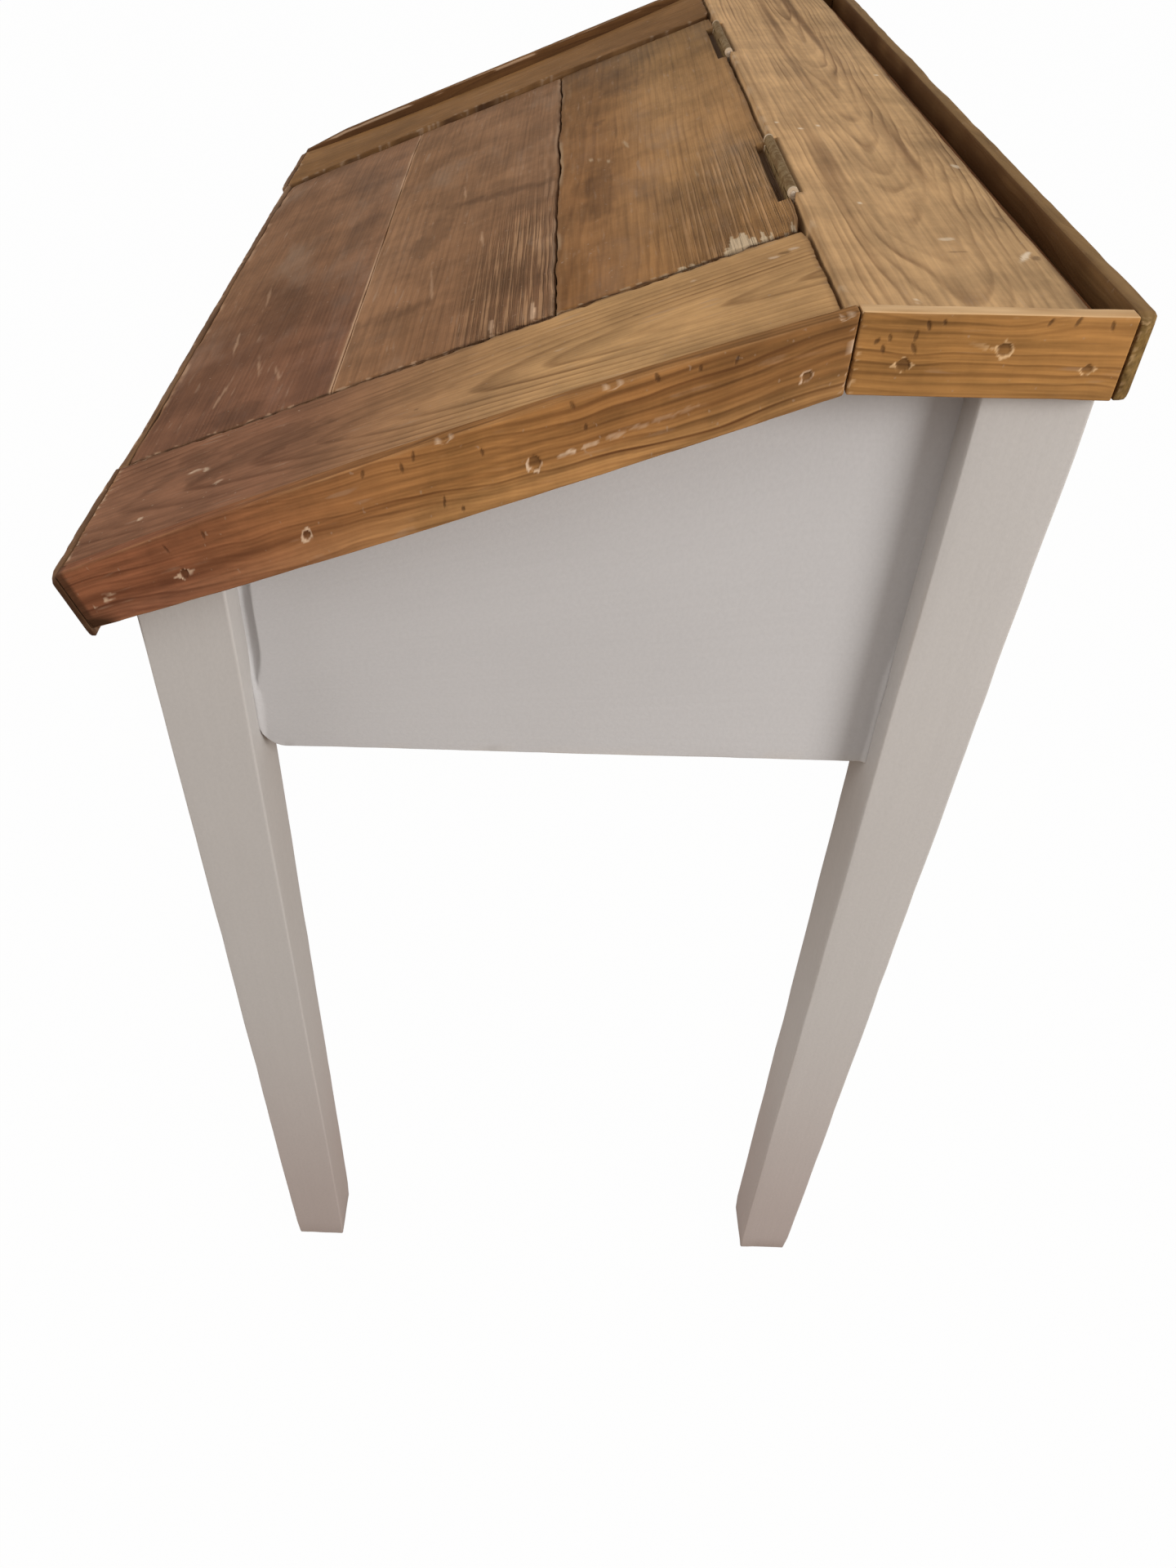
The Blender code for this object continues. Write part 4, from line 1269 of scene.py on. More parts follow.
    def build_boards(self, finishes: Sequence[bpy.types.Material]) -> None:
        """Build the three boards, with the hinges' mortises in the rear one.

        Args:
            finishes: The boards' materials, from the front to the rear.
        """
        inner = node_box("lid_right_cleat", self.place)[0][0] - self.seam
        leaves = [node_box(f"{side}_hinge_moving_leaf") for side, _ in SIDES]
        for index, node in enumerate(("lid_front_board", "lid_middle_board", "lid_rear_board")):
            low, high = node_box(node, self.place)
            box = ((-inner, low[1], low[2]), (inner, high[1], high[2]))
            fine_x = end_lines(-inner, inner, 0.048, 0.0015)
            fine_y = blot_lines(self.board_blots[index], 1, 0.0014)
            if node == "lid_rear_board":
                fine_x += self.mortise.end_walls(leaves)
                fine_y += close_lines(high[1] - 0.035, 0.034, 0.0009) + self.mortise.long_wall(box)
            board = Timber.saw(node, box, (0.006, 0.0022, 0.006), 0.0008, (fine_x, fine_y, ()))
            board.sway(2, 0.0004, (0.3, 0.05, 0.05), 3 + index).wear(0.0005, lump=0.03, seed=11 + index)
            board.sink(Face.TOP, self.far_step * board.nearness(Face.LEFT, 0.09) ** 1.5
                       * board.nearness(Face.TOP, 0.02))
            board.tone(Mask.DARK, 0.24 * board.on(Face.TOP) * board.nearness(Face.LEFT, 0.04))
            mark_top(board, self.board_blots[index], 13 + index)
            for number, (_, sign) in enumerate(SIDES):
                board.bite(Face.end(sign), Face.TOP, self.ragged_ends[index], lump=0.010,
                           seed=21 + index * 2 + sign, reach=0.004, chips=0.75, dirt=0.7)
                self.notch_end(board, sign, self.end_notch[number], self.end_dirt[number])
            if node == "lid_front_board":
                self.pale_seam(board, Face.BACK)
                board.bite(Face.FRONT, Face.TOP, 0.0012, lump=0.04, seed=45, reach=0.006, chips=0.3)
            elif node == "lid_middle_board":
                self.pale_seam(board, Face.FRONT)
                self.split_edge(board, 1, 41)
            else:
                self.split_edge(board, -1, 46)
                board.bite(Face.BACK, Face.TOP, 0.0014, lump=0.03, seed=47, reach=0.004, chips=0.1, dirt=0.4)
                self.fill_corner(board)
                self.plumb(board)
                self.mortise.cut(board, leaves)
            board.piece(finishes[index], Slot.LID, Body.LID, self.place)

    def notch_end(self, board: Timber, sign: int, depth: float, dirt: float) -> None:
        """Darken a crooked line at the end of a board, where it meets its cleat.

        Args:
            board: The board.
            sign: Which end.
            depth: How far the line goes into the board.
            dirt: How dark it is.
        """
        level = board.along(1)
        notch = 0.6 + 0.6 * lumps(level, 0.010, 27 + sign) + 0.4 * lumps(level, 0.0035, 29 + sign)
        notch = np.clip(notch, 0.1, 1.4) * depth
        board.tone(Mask.DARK, dirt * board.on(Face.TOP) * ramp(notch - board.gap(Face.end(sign)), 900.0))

    def pale_seam(self, board: Timber, edge: Face) -> None:
        """Rub one long edge of a board pale along a tight seam."""
        rubbed = board.nearness(edge, 0.0014) * board.nearness(Face.TOP, 0.002)
        board.tone(Mask.PALE, rubbed * np.clip(0.75 + lumps(board.block, (0.025, 0.05, 0.05), 43), 0.0, 0.95))

    def split_edge(self, board: Timber, sign: int, seed: int) -> None:
        """Split the edge of a board along an open seam, with slivers of pale wood left standing.

        Args:
            board: The board.
            sign: Which of its long edges is split.
            seed: Which noise.
        """
        edge = Face.rim(sign)
        level = board.along(0)
        crook = 0.0016 * lumps(level, 0.045, 44) + 0.0007 * lumps(level, 0.012, 45)
        board.points[:, 1] += crook * board.nearness(edge, 0.015) * board.nearness(Face.TOP, 0.012)
        board.bite(edge, Face.TOP, 0.0008, lump=0.012, seed=seed, reach=0.002, dirt=0.5)
        flake = ramp(lumps(board.block, 0.05, seed + 2) + 0.1, 4.0)
        board.tone(Mask.PALE, 0.5 * flake * board.nearness(edge, 0.0032) * board.on(Face.TOP))
        near = board.nearness(edge, 0.020) * board.on(Face.TOP)
        sliver = lumps(board.block, (0.035, 0.0022, 0.01), seed + 1)
        strong = np.clip(0.35 + 1.2 * (board.block[:, 0] - 0.02), 0.1, 1.0) if sign > 0 else 0.25
        board.tone(Mask.DARK, 0.7 * strong * near * ramp(sliver - 0.25, 5.0))
        board.tone(Mask.PALE, 0.6 * strong * near * ramp(-sliver - 0.35, 5.0))

    def fill_corner(self, board: Timber) -> None:
        """Break the near rear corner of the rear board, and smear whitish filler beside it.

        Args:
            board: The rear board.
        """
        y = board.block[:, 1]
        level = board.along(1)
        near = np.clip((y + 0.070) / 0.025, 0.0, 1.0) * np.clip((0.008 - y) / 0.006, 0.0, 1.0)
        teeth = 0.7 * lumps(level, 0.0022, 48) + 0.8 * lumps(level, 0.011, 49)
        tooth = near * 0.030 * np.clip(teeth, 0.0, 0.8)
        rag = 0.003 * lumps(board.block, 0.0022, 50)
        smear = np.clip((tooth + rag - board.gap(Face.RIGHT)) * 500.0, 0.0, 0.85)
        board.tone(Mask.PALE, board.on(Face.TOP) * (near > 0.0) * smear)
        corner = board.nearness(Face.RIGHT, 0.018) * board.nearness(Face.BACK, 0.010)
        board.sink(Face.BACK, 0.0024 * corner).tone(Mask.DARK, 0.35 * corner)

    def build_cleats(self, finishes: Sequence[bpy.types.Material]) -> None:
        """Build the two breadboard cleats.

        Args:
            finishes: Their materials by side.
        """
        for number, (side, sign) in enumerate(SIDES):
            node = f"lid_{side}_cleat"
            blots = self.cleat_blots[number]
            inside = Face.end(-sign)
            cleat = Timber.saw(node, node_box(node, self.place), (0.004, 0.0022, 0.006), 0.0006,
                               (blot_lines(blots, 0), blot_lines(blots, 1), ()))
            cleat.sway(2, 0.0004, (0.08, 0.2, 0.1), 51 + sign).wear(0.0004, lump=0.03, seed=53 + sign)
            cleat.bite(inside, Face.TOP, 0.0016, lump=0.010, seed=55 + sign, reach=0.003, chips=0.5, dirt=0.6)
            cleat.bite(Face.BACK, Face.TOP, 0.0008, lump=0.008, seed=57 + sign, reach=0.002, chips=0.4,
                       dirt=0.4)
            cleat.bite(Face.FRONT, Face.TOP, 0.0006, lump=0.007, seed=58 + sign, reach=0.0035, chips=0.7)
            mark_top(cleat, blots, 59)
            corner = cleat.nearness(inside, 0.012) * cleat.nearness(Face.BACK, 0.008)
            cleat.sink(Face.BACK, 0.0026 * corner).tone(Mask.DARK, 0.3 * corner)
            self.plumb(cleat)
            outward = 1.0 - cleat.nearness(inside, cleat.high[0] - cleat.low[0])
            if sign > 0:
                swell = self.crown * outward ** 1.5
            else:
                swell = self.far_step - (self.far_sink + self.far_step) * outward
                self.crook_joint(cleat)
            cleat.points[:, 2] += swell * self.rise(cleat) * cleat.nearness(Face.TOP, 0.02)
            cleat.piece(finishes[number], Slot.LID, Body.LID, self.place)

    def crook_joint(self, cleat: Timber) -> None:
        """Let the far cleat's joint with the boards run crooked and unevenly dark.

        Args:
            cleat: The far cleat.
        """
        level = cleat.along(1)
        crook = 0.0016 * lumps(level, 0.011, 56) + 0.0012 * lumps(level, 0.0045, 57)
        edge = cleat.nearness(Face.RIGHT, 0.006) * cleat.nearness(Face.TOP, 0.003)
        cleat.points[:, 0] += crook * self.rise(cleat) * edge
        cleat.tone(Mask.DARK, cleat.on(Face.RIGHT) * (0.55 + 0.4 * lumps(level, 0.016, 54)))

    def build_mouldings(self, finishes: Sequence[bpy.types.Material]) -> None:
        """Build the two end mouldings, with filled nails and ticks in their outer faces.

        Args:
            finishes: Their materials by side.
        """
        for number, (side, sign) in enumerate(SIDES):
            node = f"lid_{side}_moulding"
            low, high = box = node_box(node, self.place)
            level = node_box(f"{node}_nail_1", self.place)[1][2] - self.nail_radius
            nails = [(low[1] + share * (high[1] - low[1]), level) for share in self.nail_shares]
            strip = saw_moulding(node, box, sign, nails, self.nail_marks[number],
                                 spots_on(box, self.ticks[number]), 0.0010, 0.010, (61, 71, 73))
            outside = Face.end(sign)
            strip.bite(Face.BACK, outside, 0.0004, lump=0.006, seed=77 + sign, reach=0.002, chips=0.8,
                       dirt=0.1)
            shard = lumps(strip.block * np.array([0.0, 0.4, 1.0]), 0.006, 76) > 0.25
            strip.tone(Mask.PALE, 0.8 * strip.on(outside) * strip.nearness(Face.BACK, 0.0028) * shard)
            self.plumb(strip)
            dirt = 0.0046 + 0.0014 * lumps(strip.block, 0.006, 78) - strip.gap(Face.FRONT)
            strip.tone(Mask.DARK, np.clip(dirt * 900.0, 0.0, 0.8))
            if sign > 0:
                self.bow_near_moulding(strip)
            else:
                self.flake_far_moulding(strip)
            strip.piece(finishes[number], Slot.MOULDING, Body.LID, self.place)

    def bow_near_moulding(self, strip: Timber) -> None:
        """Chip the near moulding's top edge, break its lower front corner with painted shade in the break,
        and bow it up and down.

        Args:
            strip: The near moulding.
        """
        for share, size, depth in self.top_chips:
            spot = (strip.high[0], strip.low[1] + share * (strip.high[1] - strip.low[1]), strip.high[2])
            strip.chip(spot, (0.004, size, 0.0020), depth, away=(-0.5, 0.0, -0.85), pale=0.5)
        # The lower front corner is sunk a little and painted near black: a shallow break, its darkness
        # painted shade.
        foot = strip.on(Face.RIGHT) * strip.nearness(Face.FRONT, 0.020) * strip.nearness(Face.UNDER, 0.009)
        strip.tone(Mask.DARK, 2.6 * foot).sink(Face.RIGHT, 0.0012 * foot)
        up = strip.share(2)
        strip.points[:, 2] += self.rise(strip) * (self.crown * up - self.belly * (1.0 - up))

    def flake_far_moulding(self, strip: Timber) -> None:
        """Lift the far moulding between its ends, darken it, and leave pale crumbs along its top.

        Args:
            strip: The far moulding.
        """
        share = strip.share(1)
        strip.points[:, 2] += self.far_lift * strip.share(2) * ramp(np.minimum(share, 1.0 - share), 9.0)
        strip.tone(Mask.DARK, 0.70 * strip.on(Face.RIGHT) + 0.45 * strip.on(Face.TOP))
        flake = lumps(strip.block, (0.01, 0.02, 0.01), 79)
        strip.tone(Mask.PALE, 0.6 * strip.nearness(Face.RIGHT, 0.0018) * strip.on(Face.TOP) * (flake > 0.15))
        crumb = np.clip(lumps(strip.block, (0.01, 0.022, 0.0026), 80) * 5.0 - 0.6, 0.0, 0.6)
        crumb = crumb * strip.on(Face.RIGHT) * (strip.gap(Face.TOP) < 0.0022)
        strip.tone(Mask.PALE, crumb)
        strip.masks[Mask.DARK] *= 1.0 - crumb

    def build_lipping(self, finish: bpy.types.Material) -> None:
        """Build the three lengths of lipping along the front edge.

        Args:
            finish: Their material.
        """
        for seed, (name, sign) in enumerate((("left", -1), ("middle", 0), ("right", 1))):
            node = f"lid_{name}_lipping"
            strip = Timber.saw(node, node_box(node, self.place), (0.004, 0.0015, 0.0025), 0.0016)
            strip.wear(0.0006, lump=0.05, seed=81 + seed, reach=0.003)
            strip.bite(Face.FRONT, Face.TOP, 0.0007, lump=0.02, seed=84 + seed, reach=0.004, chips=0.6)
            strip.bite(Face.FRONT, Face.UNDER, 0.0010, lump=0.03, seed=87 + seed, reach=0.004, chips=0.2,
                       dirt=0.2)
            front = strip.nearness(Face.FRONT, 0.006)
            if name == "middle":
                strip.sink(Face.FRONT, -0.0020 * strip.nearness(Face.RIGHT, 0.06) ** 2 * front)
            else:
                self.round_lipping(strip, Face.end(sign), front)
            if name == "right":
                strip.sink(Face.FRONT, 0.0026 * strip.nearness(Face.LEFT, 0.06) ** 2 * front)
            strip.piece(finish, Slot.LID, Body.LID, self.place)

    def round_lipping(self, strip: Timber, end: Face, front: np.ndarray) -> None:
        """Round the outer end of a length of lipping, and leave it dark with pale crumbs below.

        Args:
            strip: The lipping.
            end: Its outer end.
            front: How near each point is to the front.
        """
        corner = strip.nearness(end, 0.006) * front
        strip.sink(end, 0.0016 * corner).sink(Face.FRONT, 0.0012 * corner)
        strip.tone(Mask.DARK, 0.85 * ramp(strip.nearness(end, 0.006), 2.0))
        foot = strip.nearness(end, 0.010) * strip.nearness(Face.UNDER, 0.012)
        strip.tone(Mask.PALE, 0.8 * foot * (lumps(strip.block, 0.004, 91) > 0.15))
        strip.sink(Face.TOP, 0.0030 * strip.nearness(end, 0.010) * strip.nearness(Face.TOP, 0.008) * front)


@dataclass
class FixedTop:
    """The level part of the top: shelf, pen trough and the mouldings round them."""

    mortise: Mortise = Mortise(Face.FRONT, floor=0.8728, reach=0.0040, dirt=0.7)
    nails: tuple[Pair, ...] = ((0.190, 22.5), (0.545, 14.6), (0.872, 22.5))
    nail_marks: tuple[NailMark, ...] = (
        NailMark(0.0030, Ring.SIDES, 2.0, 0.1),
        NailMark(0.0030, Ring.ROUND, 1.35, 0.3, -0.008),
        NailMark(0.0022, Ring.SIDES, 2.2, 0.1),
    )
    ticks: tuple[Pair, ...] = ((0.074, 12.3), (0.101, 15.7), (0.118, 10.8), (0.213, 15.1), (0.211, 9.9),
                               (0.249, 5.3), (0.304, 3.8), (0.683, 3.0), (0.781, 2.5), (0.908, 4.0))
    trough: float = 0.018
    shelf_blots: tuple[Blot, ...] = (
        Blot((0.174, 0.224), (0.0040, 0.0022), 0.3),
        Blot((0.324, 0.221), (0.0085, 0.0016), -0.5, strength=0.85),
        Blot((0.384, 0.157), (0.0035, 0.0030), hollow=0.5),
        Blot((0.245, 0.158), (0.0018, 0.0014)),
        Blot((0.300, 0.190), (0.0022, 0.0050), 0.2, strength=0.5),
        Blot((0.090, 0.160), (0.0022, 0.0014)),
        Blot((0.085, 0.135), (0.0020, 0.0012)),
        Blot((0.098, 0.148), (0.0020, 0.0016), strength=0.8),
        Blot((-0.050, 0.222), (0.0022, 0.0016)),
        Blot((0.326, 0.226), (0.0050, 0.0022), -0.3, Mask.DARK, 0.5),
        Blot((0.318, 0.192), (0.0012, 0.0060), 0.1, Mask.DARK, 0.45),
        Blot((0.150, 0.222), (0.0500, 0.0140), 0.05, Mask.DARK, 0.16),
        Blot((-0.110, 0.180), (0.0700, 0.0040), 0.02, Mask.DARK, 0.14),
        Blot((-0.180, 0.205), (0.0180, 0.0030), 0.0, Mask.DARK, 0.2),
        Blot((0.371, 0.224), (0.0250, 0.0080), 0.3, Mask.DARK, 0.14),
        Blot((0.270, 0.224), (0.0060, 0.0016), 0.1, Mask.DARK, 0.4),
    )

    def build(self) -> None:
        """Build and dress all the pieces of the fixed top."""
        self.build_shelf(SHELF_PINE.material(), TROUGH_PINE.material())
        self.build_rear_mouldings([finish.material() for finish in (FAR_LEVEL_PINE, NEAR_LEVEL_PINE)])
        self.build_back_moulding(BACK_MOULDING_PINE.material())

    def build_shelf(self, shelf: bpy.types.Material, trough: bpy.types.Material) -> None:
        """Build the shelf, with its hinge mortises, and the floor of the trough.

        Args:
            shelf: The shelf's material.
            trough: The trough's material.
        """
        leaves = [node_box(f"{side}_hinge_fixed_leaf") for side, _ in SIDES]
        box = node_box("shelf_board")
        fine_x = self.mortise.end_walls(leaves) + blot_lines(self.shelf_blots, 0)
        fine_y = self.mortise.long_wall(box) + blot_lines(self.shelf_blots, 1)
        board = Timber.saw("shelf_board", box, (0.006, 0.0025, 0.006), 0.0006, (fine_x, fine_y, ()))
        board.sway(2, 0.0003, (0.2, 0.05, 0.05), 101).wear(0.0003, lump=0.03, seed=103, reach=0.002)
        board.bite(Face.FRONT, Face.TOP, 0.0006, lump=0.025, seed=105, reach=0.002, chips=0.25, dirt=0.3)
        board.bite(Face.BACK, Face.TOP, 0.0006, lump=0.05, seed=107, reach=0.003, dirt=0.4)
        mark_top(board, self.shelf_blots, 108)
        self.mortise.cut(board, leaves)
        board.piece(shelf, Slot.SHELF, Body.DESK)
        floor = Timber.saw("trough_floor", node_box("trough_floor"), (0.01, 0.003, 0.004), 0.0008)
        floor.sway(2, 0.0003, 0.04, 109)
        floor.piece(trough, Slot.DARK, Body.DESK)

    def build_rear_mouldings(self, finishes: Sequence[bpy.types.Material]) -> None:
        """Build the level side mouldings.

        Args:
            finishes: Their materials by side.
        """
        for number, (side, sign) in enumerate(SIDES):
            node = f"{side}_rear_moulding"
            box = node_box(node)
            strip = saw_moulding(node, box, sign, spots_on(box, self.nails), self.nail_marks,
                                 spots_on(box, self.ticks[::sign]), 0.0009, 0.008, (111, 115, 117))
            outside = Face.end(sign)
            strip.bite(Face.FRONT, outside, 0.0005, lump=0.006, seed=119 + sign, reach=0.002, chips=0.9,
                       dirt=0.1)
            strip.bite(outside, Face.TOP, 0.0004, lump=0.02, seed=121 + sign, reach=0.002, chips=0.2)
            uneven = 0.72 + 0.45 * lumps(strip.block, (0.0025, 0.02, 0.01), 123)
            strip.tone(Mask.PALE, strip.on(Face.TOP) * uneven)
            # Darken the inner face where it walls the trough: painted shade.
            strip.tone(Mask.DARK, 0.8 * strip.on(Face.end(-sign)) * (strip.gap(Face.BACK) < self.trough))
            strip.piece(finishes[number], Slot.MOULDING, Body.DESK)

    def build_back_moulding(self, finish: bpy.types.Material) -> None:
        """Build the back moulding, with a dark wood tone and painted shade on its face in the trough, and
        chipped, rounded ends.

        Args:
            finish: Its material.
        """
        low, high = box = node_box("back_moulding")
        fine_x = end_lines(low[0], high[0], 0.02, 0.001)
        strip = Timber.saw("back_moulding", box, (0.006, 0.0015, 0.0015), 0.0014, (fine_x, (), ()))
        strip.wear(0.0006, lump=0.05, seed=131, reach=0.003)
        for _, sign in SIDES:
            end = Face.end(sign)
            corner = strip.nearness(end, 0.006) * strip.nearness(Face.BACK, 0.006)
            strip.sink(end, 0.0022 * corner).sink(Face.BACK, 0.0022 * corner)
            strip.sink(Face.TOP, 0.0022 * strip.nearness(end, 0.008) * strip.nearness(Face.TOP, 0.008))
            strip.bite(end, Face.FRONT, 0.0012, lump=0.006, seed=133 + sign, reach=0.004, chips=0.4)
            strip.bite(end, Face.TOP, 0.0010, lump=0.005, seed=135 + sign, reach=0.004, chips=0.3)
        strip.bite(Face.BACK, Face.TOP, 0.0006, lump=0.05, seed=137, reach=0.004, chips=0.15)
        # Darken the face in the trough, less towards the open near end: a dark wood tone with painted shade
        # over it.
        near = np.clip((strip.block[:, 0] - 0.20) / 0.15, 0.0, 1.0)
        uneven = 0.85 + 0.2 * lumps(strip.block, (0.03, 0.02, 0.008), 139)
        strip.tone(Mask.DARK, strip.on(Face.FRONT) * uneven * (1.0 - 0.25 * near))
        strip.tone(Mask.EDGE, 0.7 * strip.on(Face.TOP))
        strip.piece(finish, Slot.MOULDING, Body.DESK)


@dataclass
class Base:
    """The painted base: four tapered legs, the end panels, front and back boards, and the well's floor."""

    lid_under: Heights
    foot: float = 0.0435
    head: float = 0.053
    taper_height: float = 0.8535
    corner: float = 0.014
    slope: float = LID_SLOPE
    fit: float = 0.0003
    foot_rounding: float = 0.010
    front_bead: float = 0.0034
    back_bead: float = 0.0020
    bead_top: float = 0.70
    groove_start: float = 0.668
    groove_width: float = 0.0052
    groove_depth: float = 0.0042

    def build(self) -> None:
        """Build and dress all the pieces of the base."""
        leg_paint, panel_paint = LEG_PAINT.material(), PANEL_PAINT.material()
        for side, sign in SIDES:
            self.build_leg(f"front_{side}_leg", leg_paint, sign, 1)
            self.build_leg(f"back_{side}_leg", leg_paint, sign, -1)
            self.build_panel(side, sign, panel_paint)
        self.build_boards(BOARD_PAINT.material(), RAW_PINE.material())

    def thickness(self, height: Union[float, np.ndarray]) -> Union[float, np.ndarray]:
        """Give how thick a leg is at a height."""
        return self.foot + (self.head - self.foot) * np.clip(height / self.taper_height, 0.0, 1.1)

    def build_leg(self, node: str, finish: bpy.types.Material, sign: int, inward: int) -> None:
        """Build one leg, tapered on its inner faces.

        Args:
            node: The leg's name.
            finish: Its paint.
            sign: Its side of the desk along X.
            inward: The way that it thickens along Y.
        """
        low, high = node_box(node)
        outer = np.array([high[0] if sign > 0 else low[0], low[1] if inward > 0 else high[1]])
        tan = math.tan(self.slope) if inward > 0 else 0.0
        level = high[2] - tan * self.head
        post = Timber.saw(node, (ORIGIN, (self.head, self.head, level)), (0.006, 0.006, 0.02), 0.0016)
        post.shift = (0.4 * sign, 0.3 * inward, 0.0)
        post.wear(0.0012, lump=0.05, seed=141 + sign + 2 * inward)
        post.sway(0, 0.0003, 0.12, 143).sway(1, 0.0003, 0.12, 144)
        foot = post.nearness(Face.UNDER, self.foot_rounding)
        middle = post.points[:, :2] - self.head / 2
        post.points[:, :2] -= middle * (0.06 * foot ** 2)[:, None]
        post.tone(Mask.EDGE, 0.5 * foot)
        height = post.points[:, 2]
        taper = self.thickness(height) / self.head
        u, v = post.points[:, 0] * taper, post.points[:, 1] * taper
        rise = np.clip(height / level, 0.0, 1.0)
        post.points = np.stack([outer[0] - sign * u, outer[1] + inward * v, height + rise * tan * v], axis=1)
        post.piece(finish, Slot.PAINT, Body.DESK, mirrored=sign * inward > 0)

    def build_panel(self, side: str, sign: int, finish: bpy.types.Material) -> None:
        """Build one end panel, with its lower front corner rounded.

        Args:
            side: Its side of the desk, by name.
            sign: Its side of the desk along X.
            finish: Its paint.
        """
        node = f"{side}_end_panel"
        low, high = box = node_box(node)
        front = node_box(f"front_{side}_leg")[0][1]
        back = node_box(f"back_{side}_leg")[1][1]
        face = front + self.thickness(low[2] + self.corner) + self.fit
        rear = back - self.foot
        fine_y = list(np.arange(face - 0.003, face + self.corner + 0.002, 0.0009))
        fine_y += list(np.arange(rear - 0.012, rear + 0.003, 0.0009))
        panel = Timber.saw(node, box, (0.004, 0.008, 0.008), 0.0012, ((), fine_y, ()))
        panel.wear(0.0005, lump=0.03, seed=151 + sign, reach=0.003).sway(0, 0.0004, 0.15, 153)
        bare = panel.nearness(Face.end(sign), 0.003) * panel.nearness(Face.UNDER, 0.0022)
        panel.tone(Mask.PALE, 0.3 * bare * (lumps(panel.block, (0.01, 0.022, 0.01), 155) > 0.2))
        panel.tone(Mask.DARK, 0.6 * bare * (lumps(panel.block, (0.01, 0.004, 0.01), 156) > 0.68))
        self.run_bead(panel, Face.end(sign), front, back)
        y = panel.points[:, 1]
        lift = np.clip((face + self.corner - y) / self.corner, 0.0, 1.0)
        bottom = low[2] + self.corner * (1.0 - np.sqrt(1.0 - lift ** 2))
        top = np.minimum(high[2], self.lid_under(y) - self.fit)
        share = (panel.points[:, 2] - low[2]) / (high[2] - low[2])
        panel.points[:, 2] = bottom + share * (top - bottom)
        panel.piece(finish, Slot.PAINT, Body.DESK)

    def run_bead(self, panel: Timber, outside: Face, front: float, back: float) -> None:
        """Let paint gather in the corners between a panel and its legs, with a groove above the front one.

        Args:
            panel: The panel.
            outside: Its outer face.
            front: Front face of the front leg along Y.
            back: Back face of the back leg along Y.
        """
        y, z = panel.block[:, 1], panel.block[:, 2]
        thick = self.thickness(z)
        from_front, from_back = y - front - thick, back - thick - y
        uneven = 0.75 + 0.5 * lumps(panel.block, (0.05, 0.05, 0.035), 157)
        uneven = uneven + 0.25 * lumps(panel.block, 0.009, 158)
        uneven = np.clip(uneven, 0.25, 1.6) * np.clip((self.bead_top - z) / 0.04, 0.15, 1.0)
        for gap, size in ((from_front, self.front_bead), (from_back, self.back_bead)):
            width = size * uneven
            bead = np.clip(1.0 - np.abs(gap) / (1.6 * width), 0.0, 1.0) ** 1.5
            panel.sink(outside, -panel.on(outside) * width * bead)
        high = np.clip((z - self.groove_start) / 0.05, 0.0, 1.0)
        groove = np.clip(1.0 - np.abs(from_front - 0.0010) / (self.groove_width * high + ON_FACE), 0.0, 1.0)
        panel.sink(outside, panel.on(outside) * self.groove_depth * np.sqrt(groove) * high)

    def build_boards(self, paint: bpy.types.Material, raw: bpy.types.Material) -> None:
        """Build the front and back boards, the well's floor and its bearers.

        Args:
            paint: Paint of the outer boards.
            raw: Bare wood of the floor.
        """
        for seed, node in enumerate(("front_board", "back_board")):
            low, high = box = node_box(node)
            board = Timber.saw(node, box, (0.010, 0.004, 0.010), 0.0012)
            board.wear(0.0008, lump=0.03, seed=161 + seed, reach=0.003).sway(1, 0.0004, 0.15, 163 + seed)
            if node == "front_board":
                share = (board.points[:, 2] - low[2]) / (high[2] - low[2])
                top = self.lid_under(board.points[:, 1]) - self.fit
                board.points[:, 2] = low[2] + share * (top - low[2])
            board.piece(paint, Slot.PAINT, Body.DESK)
        planks = ("bottom_front_board", "bottom_back_board", "left_bearer", "right_bearer")
        for seed, node in enumerate(planks):
            plank = Timber.saw(node, node_box(node), (0.012, 0.006, 0.005), 0.0010)
            plank.wear(0.0006, lump=0.03, seed=171 + seed, reach=0.003).sway(2, 0.0003, 0.1, 175 + seed)
            plank.piece(raw, Slot.RAW, Body.DESK)


@dataclass(frozen=True)
class Lamp:
    """A soft round lamp: its name, power in watts, width in metres and place."""

    name: str
    power: float
    width: float
    place: Triple


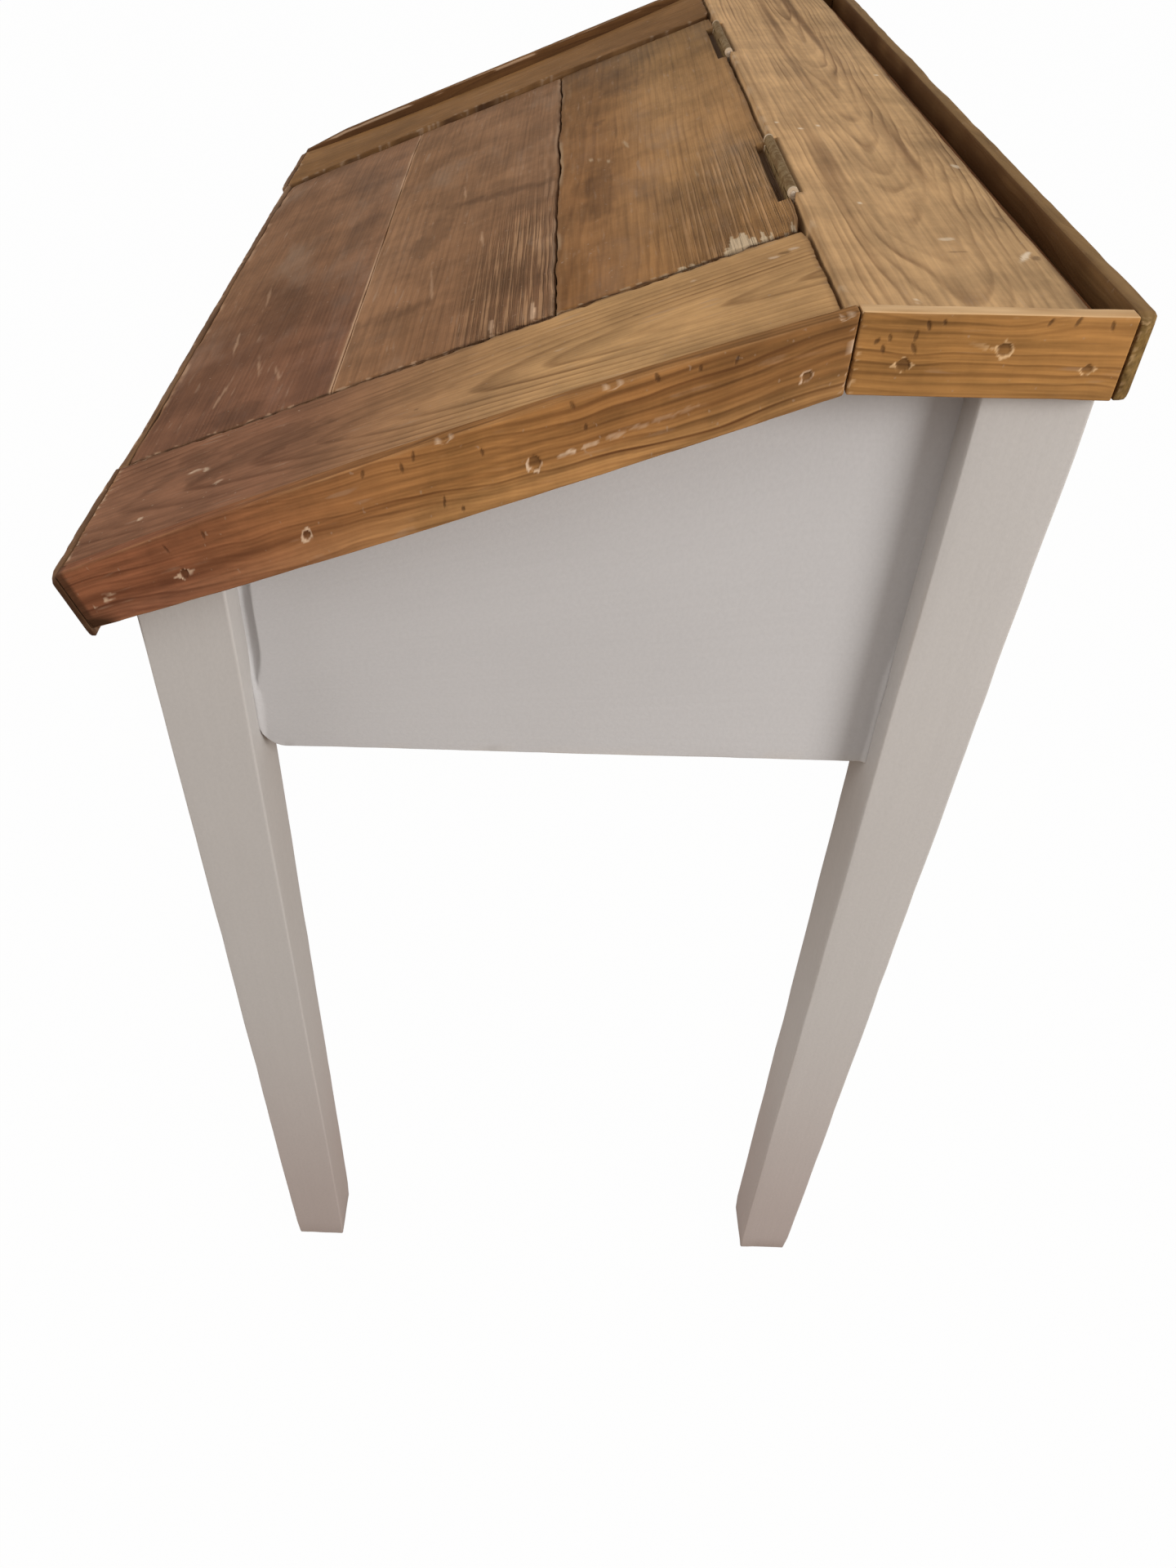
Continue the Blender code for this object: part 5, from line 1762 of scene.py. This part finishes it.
@dataclass(frozen=True)
class Studio:
    """Camera, lights and floor."""

    lens_pixels: float = 1409.97
    centre: Pair = (636.07, 1023.02)
    eye: Triple = (0.9080, 0.0001, 1.0620)
    right: Triple = (-0.03142, 0.99947, 0.00875)
    down: Triple = (0.70002, 0.02825, -0.71357)
    sensor: float = 36.0
    clip: Pair = (0.01, 100.0)
    sky: float = 0.60
    sky_tint: Colour = (1.0, 0.98, 0.96)
    lamps: tuple[Lamp, ...] = (
        Lamp("key", 50.0, 1.2, (1.8, 1.9, 1.6)),
        Lamp("fill", 34.0, 2.0, (0.6, -2.4, 1.5)),
    )
    lamp_tint: Colour = (1.0, 0.98, 0.955)
    lamp_aim: Triple = (0.1, 0.0, 0.6)
    floor: Colour = (0.32, 0.24, 0.18)
    floor_level: float = -0.0005
    floor_reach: float = 15.0
    floor_roughness: float = 0.9
    glow: float = 0.985

    def build(self) -> None:
        """Build the whole studio."""
        self.build_camera()
        self.build_light()
        self.build_floor()

    def build_camera(self) -> None:
        """Set the camera up where the photograph was taken."""
        data = bpy.data.cameras.new("camera")
        data.sensor_fit = "VERTICAL"
        data.sensor_height = data.sensor_width = self.sensor
        data.lens = self.lens_pixels / PHOTO_HEIGHT * self.sensor
        data.shift_x = (PHOTO_WIDTH / 2 - self.centre[0]) / PHOTO_HEIGHT
        data.shift_y = (self.centre[1] - PHOTO_HEIGHT / 2) / PHOTO_HEIGHT
        data.clip_start, data.clip_end = self.clip
        right = Vector(self.right).normalized()
        down = Vector(self.down)
        up = -(down - right * down.dot(right)).normalized()
        camera = bpy.data.objects.new("camera", data)
        turn = Matrix((right, up, right.cross(up))).transposed().to_4x4()
        camera.matrix_world = Matrix.Translation(self.eye) @ turn
        bpy.context.scene.collection.objects.link(camera)
        bpy.context.scene.camera = camera

    def build_light(self) -> None:
        """Light the desk softly from above its back, with a pale sky that the camera sees as white."""
        scene = bpy.context.scene
        scene.view_settings.view_transform = "Standard"
        world = bpy.data.worlds.new("sky")
        scene.world = world
        world.use_nodes = True
        tree = world.node_tree
        plain = tree.nodes["Background"]
        plain.inputs[0].default_value = (*self.sky_tint, 1.0)
        plain.inputs[1].default_value = self.sky
        seen = tree.nodes.new("ShaderNodeBackground")
        seen.inputs[0].default_value = (*WHITE, 1.0)
        path = tree.nodes.new("ShaderNodeLightPath")
        mix = tree.nodes.new("ShaderNodeMixShader")
        tree.links.new(path.outputs["Is Camera Ray"], mix.inputs[0])
        tree.links.new(plain.outputs[0], mix.inputs[1])
        tree.links.new(seen.outputs[0], mix.inputs[2])
        tree.links.new(mix.outputs[0], tree.nodes["World Output"].inputs["Surface"])
        for lamp in self.lamps:
            data = bpy.data.lights.new(lamp.name, "AREA")
            data.shape, data.size, data.energy = "DISK", lamp.width, lamp.power
            data.color = self.lamp_tint
            made = bpy.data.objects.new(lamp.name, data)
            made.location = lamp.place
            aim = Vector(self.lamp_aim) - Vector(lamp.place)
            made.rotation_euler = aim.to_track_quat("-Z", "Y").to_euler()
            scene.collection.objects.link(made)

    def build_floor(self) -> None:
        """Lay a wide pale floor that keeps the desk's shadow."""
        mesh = bpy.data.meshes.new("floor")
        corners = ((-1, -1), (1, -1), (1, 1), (-1, 1))
        spread = [(x * self.floor_reach, y * self.floor_reach, self.floor_level) for x, y in corners]
        mesh.from_pydata(spread, [], [(0, 1, 2, 3)])
        b = Bench("pale_floor")
        cloud = b.noise(b.here(), FLOOR_CLOUD).outputs[0]
        b.feed(b.shader.inputs["Base Color"], b.scaled(self.floor, b.between(cloud, 0.2, 0.8, 0.99, 1.01)))
        b.shader.inputs["Roughness"].default_value = self.floor_roughness
        glow = b.node("ShaderNodeEmission", {"Color": WHITE, "Strength": 1.0})
        path = b.node("ShaderNodeLightPath", {})
        share = b.sum("MULTIPLY", path.outputs["Is Camera Ray"], self.glow)
        mix = b.node("ShaderNodeMixShader", {0: share, 1: b.shader.outputs[0], 2: glow.outputs[0]})
        b.feed(b.tree.nodes["Material Output"].inputs["Surface"], mix.outputs[0])
        mesh.materials.append(b.material)
        floor = bpy.data.objects.new("floor", mesh)
        bpy.context.scene.collection.objects.link(floor)


def dress_iron() -> None:
    """Give the hinges, pins, screws and nails, which stay as CAD nodes, their iron."""
    tips = tuple(corner[0] for side, _ in SIDES for corner in node_box(f"{side}_hinge_fixed_leaf"))
    finishes = {
        "nail": NAIL_IRON.material(),
        "_pin": PIN_IRON.material(),
        "hinge": replace(HINGE_IRON, tips=tips).material(),
    }
    for name, node in frame["nodes"].items():
        finish = next((finish for part, finish in finishes.items() if part in name), None)
        if finish:
            node.data.materials.clear()
            node.data.materials.append(finish)
            LOG.info("%s: %s", name, finish.name)


def main() -> None:
    """Build the desk's pieces in order, then the studio."""
    logging.basicConfig(level=logging.INFO, format="%(name)s %(message)s")
    lid = Lid()
    lid.build()
    FixedTop().build()
    Base(lid.underside).build()
    dress_iron()
    Studio().build()


if __name__ == "__main__":
    main()
